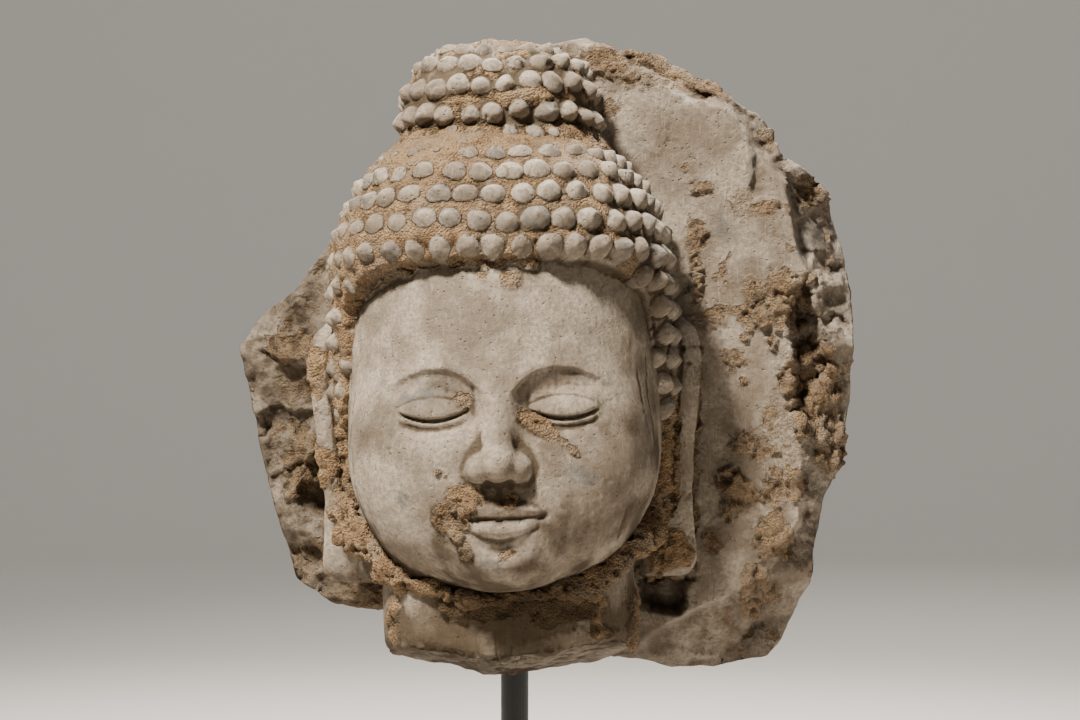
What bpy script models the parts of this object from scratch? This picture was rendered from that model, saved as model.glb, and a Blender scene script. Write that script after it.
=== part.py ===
"""Carved stone head with snail-shell curls, still joined to a broken slab of its backing, on a steel post.

Three pieces: the stone (head, neck, ears, hair and slab are one block), the post that is let into its neck,
and the foot plate below. Lengths are in millimetres and angles in degrees; solid() turns them to metres.
World frame: origin on the post's axis at the underside of the foot, x to the viewer's right, y away, z up.
Head frame: x right, y back, z up from the chin, the skull's axis at y = 0.
"""

import math

import bmesh
import bpy
import numpy as np
from mathutils import Vector, geometry

# Driving dimensions: the head
FACE_HEIGHT = 174.0  # chin to hairline
FACE_WIDTH = 178.0
HEAD_PLACE = (-2.0, -18.0, 175.4)  # the chin's level on the skull's axis, in the world
HEAD_LEAN = 1.3  # the crown leans this far to the left
BROW = FACE_HEIGHT * 2 / 3  # the thirds of the face
NOSE = FACE_HEIGHT / 3
MOUTH = FACE_HEIGHT * 2 / 9
EYE = FACE_HEIGHT * 0.575
EYE_WIDTH = FACE_WIDTH / 5  # five eye widths across the face
NECK_HALF = (71.0, 62.0)  # half width and half depth
NECK_END = (-9.0, -59.0)  # the lowest point of the neck's broken underside, across and up
NECK_SLOPES = (0.22, 0.15, 0.24)  # the underside's rise to the left, to the right and to the front

# The hair
CAP_CENTRE = (0.0, 0.0, 160.0)
CAP_RADII = (94.0, 100.0, 93.0)
BUN_CENTRE = (0.0, 4.0, 262.0)
BUN_RADII = (54.5, 52.0, 43.0)
HAIR_THICK = 5.0  # how far the hair stands proud of the skin
CURL_PITCH = 13.6
CURL_HEIGHT = 5.5
CURL_REACH = 104.0  # curls are carved this far round from the front
HAIRLINE_SIDE = 69.0  # where the side hair starts, round from the front
EAR_TURN, EAR_RISE = 86.0, -8.0  # the curls stop before the ears, and below this level
CAP_ROWS = (-6, 4)  # rows below and above the one over the forehead
CAP_ROW_LOW, CAP_ROW_STEP = 14.0, 8.5
HAIR_LOW, HAIR_DROP = 14.0, 20.0  # the hairline's lift over the forehead, and its fall to the temples
DOME_RING = 4.1  # radius of the ring halfway up a curl
HOLLOW_PULL = 7.0  # in square millimetres: how strongly the hollows draw the edges of the net
RIM_TURN_IN = 2.5
BUN_ROWS = (-1, 5)
BUN_ROW_LOW, BUN_ROW_STEP = 1.0, 16.0

# The ears: share of the height, middle of the width, width, how far out the face lies
EAR_TOP, EAR_END = 149.0, -1.4
EAR_PROFILE = (
    (0.00, 8, 19, 104), (0.04, 8, 22, 108), (0.25, 6, 20, 106), (0.45, 5, 24, 105), (0.62, 5, 33, 108),
    (0.82, 7, 38, 111), (0.93, 8, 30, 110), (0.98, 8, 18, 104), (1.00, 8, 6, 97),
)
EAR_DEEP = 24.0  # how far the ear runs into the head

# The slab
SLAB_CENTRE = (15.0, 300.0)
SLAB_FRONT, SLAB_BACK = 7.0, 61.0
FRONT_BREAKS = (  # facets broken off the front rim: way out (0 right, 90 up), distance from the centre, slope
    (-8, 156, 0.75), (14, 158, 0.9), (36, 170, 0.6), (62, 176, 0.55), (84, 182, 0.7), (-32, 172, 0.6),
    (-62, 170, 1.3), (-84, 168, 1.5), (-108, 168, 1.2), (-136, 150, 0.5), (-160, 118, 0.35), (178, 122, 0.3),
    (152, 130, 0.5), (118, 168, 0.5),
)
BACK_BREAKS = (
    (4, 170, 0.5), (30, 176, 0.8), (57, 160, 0.4), (88, 176, 0.7), (121, 158, 0.5), (150, 150, 0.8),
    (-178, 150, 0.45), (-150, 160, 0.9), (-121, 172, 0.5), (-90, 160, 0.6), (-60, 178, 0.5), (-28, 176, 0.9),
)
HOLLOWS = (  # pits in the front of the slab: x, z, half width, half height, depth below the slab's front
    (-119, 211, 19, 25, 30), (-112, 170, 20, 12, 26), (-146, 262, 14, 12, 24), (172, 300, 12, 50, 24),
)
SLAB_EDGE = (  # the broken edge seen from the front, (x, z), clockwise from the top
    (23, 485), (41, 490), (54, 483), (80, 481), (89, 476), (107, 466), (116, 464), (130, 452), (143, 445),
    (158, 420), (172, 413), (186, 398), (187, 387), (195, 361), (199, 341), (199, 318), (197, 276),
    (194, 243), (189, 233), (181, 220), (176, 187), (175, 167), (168, 157), (158, 132), (150, 122),
    (117, 116), (91, 116), (73, 122), (35, 128), (-13, 121), (-51, 129), (-76, 152), (-109, 155),
    (-132, 171), (-137, 182), (-154, 248), (-163, 294), (-166, 308), (-152, 328), (-132, 341), (-98, 386),
    (-67, 424), (-54, 468), (-39, 480), (-10, 485),
)

# The post and its foot
POST_RADIUS = 8.0
POST_TOP = 165.0
FOOT_SIZE = (220.0, 180.0, 12.0)
FOOT_ROUND = 12.0
FOOT_EDGE = 1.5
GAP = 0.3

# How finely the solids are faceted
BUN_RIM = -26.0
HEAD_GRID = (43, 49)
EAR_GRID = (13, 9)
NECK_SIDES = 28
POST_SIDES = 24


def blend(a, b, reach):
    """The union of two fields, rounded over reach where they meet."""
    near = np.clip(reach - np.abs(a - b), 0, None)
    return np.minimum(a, b) - near * near / (4 * reach)


def carve(a, b, reach):
    """Field a with b cut out of it, the rim rounded over reach."""
    return -blend(-a, b, reach)


def egg(p, centre, radii, power=2.0):
    """About the distance to an ellipsoid; a power over 2 squares it up."""
    q = np.abs(p - np.array(centre)) / radii
    size = (q**power).sum(-1) ** (1 / power) + 1e-9
    slope = np.sqrt(((q ** (power - 1) / radii) ** 2).sum(-1)) * size ** (1 - power) + 1e-9
    return (size - 1) / slope


def bar(p, start, end, start_radius, end_radius):
    """The distance to a tapered round bar."""
    start, run = np.array(start), np.subtract(end, start)
    t = np.clip(((p - start) @ run) / (run @ run), 0, 1)
    away = np.linalg.norm(p - start - t[..., None] * run, axis=-1)
    return away - start_radius - t * (end_radius - start_radius)


def bump(x, centre, width):
    return np.exp(-(((x - centre) / width) ** 2))


def ease(x, start, end):
    t = np.clip((x - start) / (end - start), 0, 1)
    return t * t * (3 - 2 * t)


def skull(p, m):
    """Skull, cheeks, jaw and chin; m is p with both halves folded onto x > 0."""
    f = egg(p, (0, 0, 142), (90, 97, 96))
    f = blend(f, egg(p, (0, -10, 86), (89, 88, 90), 2.3), 16)
    f = blend(f, egg(m, (40, -54, 66), (37, 41, 42)), 24)
    f = blend(f, egg(m, (26, -50, 36), (34, 40, 32)), 22)
    return blend(f, egg(p, (0, -74, 18), (25, 27, 19)), 20)


def features(p, m, f):
    """Sockets, eyeballs, nose, lips and chin crease, worked into the field f."""
    f = carve(f, egg(m, (EYE_WIDTH + 1, -109, EYE + 2), (27, 16.5, 14.5)), 12)
    f = carve(f, egg(m, (15.5, -106.5, EYE + 3), (8, 8, 11)), 9)
    f = blend(f, egg(m, (EYE_WIDTH, -79.5, EYE - 1.5), (22, 18, 14)), 4)
    f = blend(f, egg(p, (0, -84, MOUTH + 1), (29, 17.5, 24)), 16)
    f = blend(f, bar(p, (0, -91, BROW + 6), (0, -107.5, NOSE + 15), 5.8, 7.6), 12)
    f = blend(f, egg(p, (0, -108, NOSE + 10.5), (9.8, 11.5, 9.4)), 5)
    f = blend(f, egg(m, (11.4, -101.5, NOSE + 8), (6.2, 9.8, 7.2)), 5)
    f = carve(f, egg(m, (5.8, -106, NOSE - 1), (2.8, 5.5, 3.4)), 2)
    f = blend(f, egg(m, (7.5, -97.6, MOUTH + 4.6), (15.5, 8.2, 5.2)), 3)
    f = blend(f, egg(p, (0, -98.4, MOUTH - 5.6), (16.5, 8, 6.2)), 3)
    return carve(f, egg(p, (0, -111.5, MOUTH - 16.5), (16, 9, 5)), 8)


def lines(m):
    """Carved lines of the face, as a height to add: brow, lids, lip line, upper lip groove and nose wings."""
    x, z = m[..., 0], m[..., 2]
    arch = BROW + 5.5 - 15 * np.clip((32 - x) / 26, 0, 1.2) ** 2 - 9.5 * np.clip((x - 32) / 28, 0, 1.6) ** 2
    up = z - arch
    brow = np.where(up > 0, bump(up, 0, 7.5), bump(up, 0, 2.2))
    h = 2.3 * brow * ease(x, 6, 15) * (1 - ease(x, 52, 70))
    t = (x - EYE_WIDTH) / (EYE_WIDTH / 2)
    lid_share = 1 - ease(np.abs(t), 0.86, 1.08)
    slit = EYE - 2.5 - 4.0 * (1 - t * t)
    up = z - slit
    h = h + lid_share * 1.5 * ease(up, -0.5, 0.5) * bump(np.clip(up, 0, None), 0, 8)
    h = h - lid_share * 1.5 * bump(up, -1.0, 0.95) + lid_share * 0.9 * bump(up, -3.2, 1.5)
    crease = slit + 3.2 + 8.5 * (1 - np.clip(t, -1.2, 1.2) ** 2)
    h = h - (1 - ease(np.abs(t), 0.8, 1.25)) * 0.9 * bump(z, crease, 1.0)
    lip_line = MOUTH + 0.2 - 0.9 * bump(x, 0, 4.5) + 1.4 * (x / 24) ** 2
    h = h - (1 - ease(x, 20, 27)) * 1.5 * bump(z, lip_line, 1.0)
    h = h - 1.5 * bump(np.hypot(x - 24, (z - lip_line) * 1.2), 0, 2.8)
    groove = ease(z, MOUTH + 8, MOUTH + 12) * (1 - ease(z, NOSE - 3, NOSE + 2))
    h = h + groove * (0.8 * bump(x, 4.4, 1.9) - 0.9 * bump(x, 0, 2.6))
    wing = np.hypot(x - 10.5, z - (NOSE + 7.5))
    h = h - 0.8 * bump(wing, 9.6, 1.6) * ease(x, 11, 17) * (1 - ease(z, NOSE + 10, NOSE + 18))
    return h * ease(-m[..., 1], 30, 60)


def back_plane(p):
    """The rough flat at the back, flush with the slab's back."""
    return p[..., 1] - (SLAB_BACK - 9 - HEAD_PLACE[1])


def head_field(p):
    """Face and skull: negative inside."""
    m = p.copy()
    m[..., 0] = np.abs(m[..., 0])
    return np.maximum(features(p, m, skull(p, m)) - lines(m), back_plane(p))


def hair_field(p):
    """The hair's own surface between the curls: a cap, and a skin over the sides of the skull."""
    m = p.copy()
    m[..., 0] = np.abs(m[..., 0])
    f = blend(egg(p, CAP_CENTRE, CAP_RADII, 2.5), skull(p, m) - HAIR_THICK, 6)
    return np.maximum(f, back_plane(p))


def bun_field(p):
    """The bun on the crown, between its curls."""
    return np.maximum(egg(p, BUN_CENTRE, BUN_RADII, 2.4), back_plane(p))


def trace(field, origin, heading, near=5.0, far=190.0, steps=22):
    """The point of each ray where the field turns positive, found by halving."""
    low = np.full(heading.shape[:-1], near)
    high = np.full(heading.shape[:-1], far)
    for _ in range(steps):
        middle = (low + high) / 2
        outside = field(origin + heading * middle[..., None]) > 0
        high = np.where(outside, middle, high)
        low = np.where(outside, low, middle)
    return origin + heading * ((low + high) / 2)[..., None]


def heading(turn, lift):
    """Unit vectors for angles round from the front (to the right) and up from level."""
    turn, lift = np.radians(turn), np.radians(lift)
    return np.stack([np.sin(turn) * np.cos(lift), -np.cos(turn) * np.cos(lift), np.sin(lift)], -1)


# Ray fan of the head: share of the rows, height of the ray's start, its lift
HEAD_FAN = (
    (0.00, 150, 90), (0.02, 150, 30), (0.04, 148, 12), (0.10, 142, 2), (0.30, 122, -10), (0.48, 98, -18),
    (0.68, 80, -22), (0.84, 60, -28), (0.92, 46, -38), (0.97, 40, -60), (1.00, 40, -90),
)


def head_points(turns, rows):
    """Rays spread from the skull's axis, close together at the front; the first and last row are poles."""
    fan = np.array(HEAD_FAN)
    share = np.linspace(0, 1, rows)
    start, lift = (np.interp(share, fan[:, 0], fan[:, k]) for k in (1, 2))
    u = np.linspace(-1, 1, turns, endpoint=False)
    turn, lift = np.meshgrid(180 * (0.28 * u + 0.72 * u**3), lift)
    start = np.broadcast_to(start[:, None], turn.shape)
    origin = np.stack([0 * start, 0 * start - 8, start], -1)
    return trace(head_field, origin, heading(turn, lift))


def hairline(turn):
    """The rise of the lowest curls at a turn from the front: level over the forehead, then down the temples."""
    return HAIR_LOW - HAIR_DROP * np.clip(np.abs(turn) / HAIRLINE_SIDE, 0, 1) ** 3.2


def cap_rim():
    """Outline of the cap in (turn, rise): the hairline, a strip before each ear, and level round the back."""
    front = np.linspace(0, HAIRLINE_SIDE, 12)
    half = list(zip(front, hairline(front) - 4.6))
    half += [(HAIRLINE_SIDE - 1, -18), (HAIRLINE_SIDE + 1, -30), (HAIRLINE_SIDE + 4, -41), (82, -42), (87, -30)]
    half += [(90, -18), (94, -9), (106, -9), (118, -9), (120, 8), (140, 12), (160, 12)]
    return np.array(half + [(180, 12)] + [(-turn, rise) for turn, rise in half[:0:-1]])


def in_cap(turn, rise):
    """Whether a curl belongs there: above the forehead, behind the temples, and before the ears lower down."""
    if abs(turn) < HAIRLINE_SIDE + 1:
        return rise > hairline(turn) - 1
    return abs(turn) <= (CURL_REACH if rise > EAR_RISE else EAR_TURN)


def in_bun(turn, rise):
    return abs(turn) <= CURL_REACH


def curl_spots(rows, low, step, radius, wanted):
    """Each curl's turn, rise and share of a turn to the next: every row half a curl off, drooping to the sides.

    Rise is in degrees above the centre's level; below that level it goes straight down by as much arc.
    """
    rng = np.random.default_rng(11)
    spots = []
    for row in range(rows[0], rows[1] + 1):
        rise = low + step * row
        level = math.cos(math.radians(max(rise, 0)))
        gap = math.degrees(CURL_PITCH / (radius * level))
        for k in range(-14, 15):
            turn = (k + 0.5 * (row % 2)) * gap
            shake = rng.normal(0, 0.3, 2)
            if abs(turn) < 180 and wanted(turn, rise):
                droop = 3.5 * (1 - math.cos(math.radians(turn))) * level
                spots.append((turn + shake[0] / level, rise - droop + shake[1], gap))
    return np.array(spots)


def knobs(field, centre, radius, step, spots, rim):
    """Closed solid of a knobbed surface: each curl a hexagonal dome, with the hollows between them at its foot.

    Every point has a turn and a rise. They are joined as the hull of a round-topped barrel, where the
    hollows stand out by a hair so that edges run between them, and each point is then sent out to the
    field, plus its own height. Under the rim the solid turns in and closes inside the head.
    """
    turn, rise, gap = spots.T
    spread = DOME_RING / radius / np.cos(np.radians(np.clip(rise, 0, 80)))
    corners = np.radians(60 * np.arange(6) + 30)
    ring = np.stack([turn[:, None] + np.degrees(spread)[:, None] * np.cos(corners),
                     rise[:, None] + math.degrees(DOME_RING / radius) * np.sin(corners)], -1).reshape(-1, 2)
    hollows = np.concatenate([np.stack([turn + gap / 2, rise + side * step / 3], -1) for side in (-1, 1)])
    along = np.roll(rim, -1, 0) - np.roll(rim, 1, 0)
    along[:, 0] = (along[:, 0] + 180) % 360 - 180
    outside = rim + RIM_TURN_IN * np.stack([along[:, 1], -along[:, 0]], -1) / np.hypot(*along.T)[:, None]
    groups = ((spots[:, :2], CURL_HEIGHT), (ring, 0.72 * CURL_HEIGHT), (hollows, 0), (rim, 0),
              (outside, -0.3 * radius))
    turn, rise = np.concatenate([group for group, _ in groups]).T
    height = np.concatenate([np.full(len(group), up) for group, up in groups])
    fall = np.radians(np.clip(rise, None, 0))
    barrel = heading(turn, np.clip(rise, 0, None)) * (1 - 0.35 * fall**2)[:, None]
    barrel[:, 2] += fall
    barrel *= 1 + np.where(height == 0, HOLLOW_PULL / radius**2, 0)[:, None]
    form = bmesh.new()
    for point in barrel:
        form.verts.new(point)
    bmesh.ops.convex_hull(form, input=form.verts)
    form.verts.index_update()
    faces = [[v.index for v in face.verts] for face in form.faces]
    form.free()
    way = heading(turn, np.clip(rise, 0, None))
    start = np.array(centre) + np.stack([0 * fall, 0 * fall, fall * radius], -1)
    return trace(field, start, way) + way * height[:, None], faces


def ear_points(side, rows, columns):
    """Rings up one ear: out along its face (rim, bowl and slit lobe as heights), and back inside the head."""
    share = np.linspace(0, 1, rows)[:, None] ** 0.9
    across = np.linspace(-1, 1, columns)[None]
    table = np.array(EAR_PROFILE)
    middle, wide, out = (np.interp(share, table[:, 0], table[:, k]) for k in (1, 2, 3))
    upper = ease(share, 0.40, 0.52) * (1 - ease(share, 0.9, 0.99))
    relief = 2.5 * bump(np.abs(across), 0.82, 0.16) * ease(share, 0.30, 0.42)
    relief = relief - 6.0 * upper * bump(across, 0.05, 0.42)
    relief = relief - 4.0 * bump(across, 0, 0.25) * ease(share, 0.03, 0.1) * (1 - ease(share, 0.36, 0.42))
    face = out - 4.0 * np.abs(across) ** 6 + relief
    y = middle + across * wide / 2
    x = np.concatenate([out - EAR_DEEP, face, out - EAR_DEEP], 1)
    y = np.concatenate([y[:, :1] + 3, y, y[:, -1:] - 3], 1)
    return np.stack([side * x, y, EAR_END + (EAR_TOP - EAR_END) * share + 0 * x], -1)


def to_world(points):
    """From the head's frame to the world: lean the head, then set it in place."""
    lean = math.radians(-HEAD_LEAN)
    x = points[..., 0] * math.cos(lean) + points[..., 2] * math.sin(lean)
    z = points[..., 2] * math.cos(lean) - points[..., 0] * math.sin(lean)
    return np.stack([x, points[..., 1], z], -1) + HEAD_PLACE


def ring_faces(rows, columns):
    """Quads over a grid whose rows are closed rings, with a fan of triangles at each end."""
    i, j = np.arange(rows - 1)[:, None] * columns, np.arange(columns)[None]
    k = (j + 1) % columns
    quads = np.stack([i + j, i + k, i + columns + k, i + columns + j], -1).reshape(-1, 4).tolist()
    top, end = rows * columns, (rows - 1) * columns
    fans = [[top, (c + 1) % columns, c] for c in range(columns)]
    fans += [[top + 1, end + c, end + (c + 1) % columns] for c in range(columns)]
    return quads + fans


def rings(points):
    """Points and faces of a closed solid from a grid of rings, each end drawn to its middle."""
    flat = points.reshape(-1, 3)
    ends = [points[0].mean(0), points[-1].mean(0)]
    return np.concatenate([flat, ends]), ring_faces(*points.shape[:2])


def solid(name, points, faces, material, smooth=40.0):
    """An object in metres from points in millimetres, its faces turned outwards."""
    mesh = bpy.data.meshes.new(name)
    mesh.from_pydata((np.asarray(points) / 1000).tolist(), [], faces)
    form = bmesh.new()
    form.from_mesh(mesh)
    bmesh.ops.remove_doubles(form, verts=form.verts, dist=1e-5)
    bmesh.ops.triangulate(form, faces=form.faces)
    bmesh.ops.recalc_face_normals(form, faces=form.faces)
    if form.calc_volume(signed=True) < 0:
        bmesh.ops.reverse_faces(form, faces=form.faces)
    form.to_mesh(mesh)
    form.free()
    mesh.shade_smooth()
    mesh.set_sharp_from_angle(angle=math.radians(smooth))
    mesh.materials.append(material)
    piece = bpy.data.objects.new(name, mesh)
    bpy.context.scene.collection.objects.link(piece)
    return piece


def finish(name, colour, roughness, metallic=0.0):
    material = bpy.data.materials.new(name)
    material.use_nodes = True
    shader = material.node_tree.nodes["Principled BSDF"]
    shader.inputs["Base Color"].default_value = (*colour, 1)
    shader.inputs["Roughness"].default_value = roughness
    shader.inputs["Metallic"].default_value = metallic
    return material


def combine(target, tool, operation):
    """A Boolean on the target; the tool stays as a guide that isn't part of the model."""
    change = target.modifiers.new(tool.name, "BOOLEAN")
    change.operation = operation
    change.solver = "EXACT"
    change.object = tool
    tool.hide_render = True
    tool.display_type = "WIRE"
    return change


def round_bar(name, radius, low, high, material, sides):
    """An upright round bar on the world's axis."""
    way = np.linspace(0, 2 * np.pi, sides, endpoint=False)
    ring = np.stack([radius * np.cos(way), radius * np.sin(way), 0 * way], -1)
    points, faces = rings(np.stack([ring + (0, 0, low), ring + (0, 0, high)]))
    return solid(name, points, faces, material)


def cut_flat(form, point, outwards):
    """Cut a closed form by a plane, drop what lies outwards of it, and close the cut."""
    everything = form.verts[:] + form.edges[:] + form.faces[:]
    found = bmesh.ops.bisect_plane(form, geom=everything, plane_co=point, plane_no=outwards, clear_outer=True,
                                   dist=1e-4)
    edges = [e for e in found["geom_cut"] if isinstance(e, bmesh.types.BMEdge)]
    if edges:
        bmesh.ops.triangle_fill(form, use_beauty=True, edges=edges)


def prism(outline, low, high):
    """A closed form in millimetres: an outline drawn from one position to another."""
    form = bmesh.new()
    ends = [[form.verts.new(Vector(at(point))) for point in outline] for at in (low, high)]
    form.faces.new(ends[0])
    form.faces.new(ends[1][::-1])
    for k in range(len(outline)):
        n = (k + 1) % len(outline)
        form.faces.new((ends[0][n], ends[0][k], ends[1][k], ends[1][n]))
    bmesh.ops.recalc_face_normals(form, faces=form.faces)
    return form


def taken(form):
    """The points and faces of a form, which is freed."""
    bmesh.ops.triangulate(form, faces=form.faces)
    form.verts.index_update()
    points = np.array([v.co[:] for v in form.verts])
    faces = [[v.index for v in face.verts] for face in form.faces]
    form.free()
    return points, faces


def slab_form():
    """The slab: its outline as a plate, with the broken facets cut off round the front and the back."""
    form = prism(SLAB_EDGE, lambda q: (q[0], SLAB_FRONT, q[1]), lambda q: (q[0], SLAB_BACK, q[1]))
    for face, sign, breaks in ((SLAB_FRONT, -1, FRONT_BREAKS), (SLAB_BACK, 1, BACK_BREAKS)):
        for way, distance, steep in breaks:
            out = Vector((math.cos(math.radians(way)), 0, math.sin(math.radians(way))))
            point = Vector((SLAB_CENTRE[0], face, SLAB_CENTRE[1])) + out * distance
            cut_flat(form, point, out * steep + Vector((0, sign, 0)))
    return taken(form)


def neck_form():
    """The neck: a squared oval column, cut below by four planes that rise from its lowest point."""
    way = np.linspace(0, 2 * np.pi, NECK_SIDES, endpoint=False)
    squared = (np.abs(np.cos(way)) ** 4 + np.abs(np.sin(way)) ** 4) ** -0.25
    outline = np.stack([NECK_HALF[0] * squared * np.cos(way), NECK_HALF[1] * squared * np.sin(way) - 2], -1)
    form = prism(outline, lambda q: (*q, -80), lambda q: (*q, 42))
    left, right, front = NECK_SLOPES
    for across in (-left, right):
        for forward in (0, front):
            cut_flat(form, Vector((NECK_END[0], 0, NECK_END[1])), Vector((across, -forward, -1)))
    return taken(form)


def hollow_form(x, z, half_width, half_height, depth):
    """A ball, drawn out to the front, that cuts a pit into the slab."""
    form = bmesh.new()
    bmesh.ops.create_icosphere(form, subdivisions=2, radius=1)
    bmesh.ops.scale(form, vec=(half_width, depth + 6, half_height), verts=form.verts)
    bmesh.ops.translate(form, vec=(x, SLAB_FRONT - 6, z), verts=form.verts)
    return taken(form)


def make_stone(material):
    """Slab, head, neck, hair, bun and ears made one block, with the hole for the post."""
    stone = solid("stone", *slab_form(), material)
    for k, sizes in enumerate(HOLLOWS):
        combine(stone, solid(f"hollow_{k}", *hollow_form(*sizes), material), "DIFFERENCE")
    forms = [("head", *rings(head_points(*HEAD_GRID))), ("neck", *neck_form())]
    cap = curl_spots(CAP_ROWS, CAP_ROW_LOW, CAP_ROW_STEP, CAP_RADII[0], in_cap)
    forms.append(("cap", *knobs(hair_field, CAP_CENTRE, CAP_RADII[0], CAP_ROW_STEP, cap, cap_rim())))
    rim = np.array([(turn, BUN_RIM) for turn in np.arange(-180, 180, 15)])
    bun = curl_spots(BUN_ROWS, BUN_ROW_LOW, BUN_ROW_STEP, BUN_RADII[0], in_bun)
    forms.append(("bun", *knobs(bun_field, BUN_CENTRE, BUN_RADII[0], BUN_ROW_STEP, bun, rim)))
    for side, name in ((-1, "ear_left"), (1, "ear_right")):
        forms.append((name, *rings(ear_points(side, *EAR_GRID))))
    for name, points, faces in forms:
        combine(stone, solid(name + "_form", to_world(points), faces, material), "UNION")
    hole = round_bar("hole_form", POST_RADIUS + GAP, 60, POST_TOP + GAP, material, POST_SIDES)
    combine(stone, hole, "DIFFERENCE")
    return stone


def make_foot(material):
    """The foot plate: a rounded rectangle with its edges taken off."""
    form = bmesh.new()
    bmesh.ops.create_cube(form, size=1)
    bmesh.ops.scale(form, vec=[side / 1000 for side in FOOT_SIZE], verts=form.verts)
    bmesh.ops.translate(form, vec=(0, 0, FOOT_SIZE[2] / 2000), verts=form.verts)
    upright = [e for e in form.edges if abs(e.verts[0].co.z - e.verts[1].co.z) > 0.001]
    bmesh.ops.bevel(form, geom=upright, offset=FOOT_ROUND / 1000, segments=5, affect="EDGES", profile=0.5)
    around = [e for e in form.edges if abs(e.verts[0].co.z - e.verts[1].co.z) < 1e-6 and len(e.link_faces) == 2
              and e.calc_face_angle(0) > 1]
    bmesh.ops.bevel(form, geom=around, offset=FOOT_EDGE / 1000, segments=2, affect="EDGES", profile=0.5)
    mesh = bpy.data.meshes.new("foot")
    form.to_mesh(mesh)
    form.free()
    mesh.shade_smooth()
    mesh.set_sharp_from_angle(angle=math.radians(30))
    mesh.materials.append(material)
    foot = bpy.data.objects.new("foot", mesh)
    bpy.context.scene.collection.objects.link(foot)
    return foot


def main():
    for old in list(bpy.data.objects):
        bpy.data.objects.remove(old, do_unlink=True)
    limestone = finish("limestone", (0.40, 0.33, 0.26), 0.9)
    black = finish("black_paint", (0.012, 0.012, 0.012), 0.45)
    make_stone(limestone)
    round_bar("post", POST_RADIUS, FOOT_SIZE[2] + GAP, POST_TOP, black, POST_SIDES)
    make_foot(black)


main()
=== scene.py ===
import math

import bpy
import numpy as np
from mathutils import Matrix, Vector


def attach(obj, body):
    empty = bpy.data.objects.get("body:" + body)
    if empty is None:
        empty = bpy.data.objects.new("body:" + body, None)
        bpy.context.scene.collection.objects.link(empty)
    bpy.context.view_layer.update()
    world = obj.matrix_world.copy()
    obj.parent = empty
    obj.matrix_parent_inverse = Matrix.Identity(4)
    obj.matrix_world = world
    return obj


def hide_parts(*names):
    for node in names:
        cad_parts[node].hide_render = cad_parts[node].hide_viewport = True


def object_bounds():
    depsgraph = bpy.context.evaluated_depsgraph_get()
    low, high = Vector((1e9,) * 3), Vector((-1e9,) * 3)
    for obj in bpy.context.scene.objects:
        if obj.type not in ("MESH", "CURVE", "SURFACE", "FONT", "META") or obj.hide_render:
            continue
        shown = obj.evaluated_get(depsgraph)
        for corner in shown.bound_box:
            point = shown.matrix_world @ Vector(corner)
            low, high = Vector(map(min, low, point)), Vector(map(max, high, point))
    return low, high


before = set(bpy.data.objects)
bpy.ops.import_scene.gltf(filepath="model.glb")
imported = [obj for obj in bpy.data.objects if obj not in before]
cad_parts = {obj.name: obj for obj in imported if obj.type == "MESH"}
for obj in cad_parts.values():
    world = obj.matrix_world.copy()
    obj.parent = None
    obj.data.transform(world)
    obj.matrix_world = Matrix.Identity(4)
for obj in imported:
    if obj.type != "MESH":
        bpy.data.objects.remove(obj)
cad_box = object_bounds()

# Lengths are in millimetres and angles in degrees; put_in() turns points to metres.
# World frame: origin on the post's axis at the underside of the foot, x to the viewer's right, y away, z up.
# Head frame: x right, y back, z up from the chin, the skull's axis at y = 0.

# The head, as in the part's source
FACE_HEIGHT = 174.0  # chin to hairline
FACE_WIDTH = 178.0
HEAD_PLACE = (-2.0, -18.0, 175.4)  # the head frame's origin in the world
HEAD_LEAN = 1.3  # degrees that its top leans to the left
BROW = FACE_HEIGHT * 2 / 3
NOSE = FACE_HEIGHT / 3
MOUTH = FACE_HEIGHT * 2 / 9
EYE = FACE_HEIGHT * 0.575
EYE_WIDTH = FACE_WIDTH / 5
NECK_HALF = (71.0, 62.0)  # half its width and depth
NECK_END = (-9.0, -59.0)  # x and z of its lowest point
NECK_SLOPES = (0.22, 0.15, 0.24)  # how steeply its underside rises: left, right, to the front
SKIN_INSIDE = (0.0, 0.0, 100.0)  # a point inside the skin

# The hair: a turn is an angle round from the front, a rise one up from level
CAP_CENTRE = (0.0, 0.0, 160.0)
CAP_RADII = (94.0, 100.0, 93.0)
BUN_CENTRE = (0.0, 4.0, 262.0)
BUN_RADII = (54.5, 52.0, 43.0)
HAIR_THICK = 5.0  # over the sides of the skull
CURL_PITCH = 13.6  # from one curl to the next
CURL_HEIGHT = 6.2
CURL_WIDE, CURL_UP, CURL_DOWN = 6.75, 6.6, 5.9  # half its width, its top to its upper and lower edge
CURL_REACH = 104.0  # the turn up to which curls stand
CURL_SHAKE, ROW_DROOP = 0.3, 3.5  # degrees off a curl's place, and down to the sides of the head
HAIRLINE_SIDE = 69.0  # the turn at which the hairline has dropped to its lowest
EAR_TURN, EAR_RISE = 86.0, -8.0  # below this rise curls stand up to this turn, before the ear
CAP_ROWS = (-6, 4)  # first and last row; row 0 is the one over the brow
CAP_ROW_LOW, CAP_ROW_STEP = 14.0, 8.5  # rise of row 0, and from row to row
HAIR_LOW, HAIR_DROP = 14.0, 20.0  # rise of the hairline over the brow, and its drop to the side
TONGUE_TURN, TONGUE_RISE = 65.0, -30.0  # a row of small curls more on the temples than the solids have
RIM_SIDES = (60, 63, 66, 70, 74, 82, 88, 92, 96)  # the hair's edge about the ears: turns from the front,
RIM_RISES = (0, -6, -20, -36, -43, -43, -26, -12, -9)  # and the rises there
CAP_TURN, CAP_RISES = 118, (64, -44)  # how far the cap is laid out: to both sides, top to bottom
BUN_RISES = (89.5, -34)
BUN_ROWS = (-1, 5)
BUN_ROW_LOW, BUN_ROW_STEP = 1.0, 16.0

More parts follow.
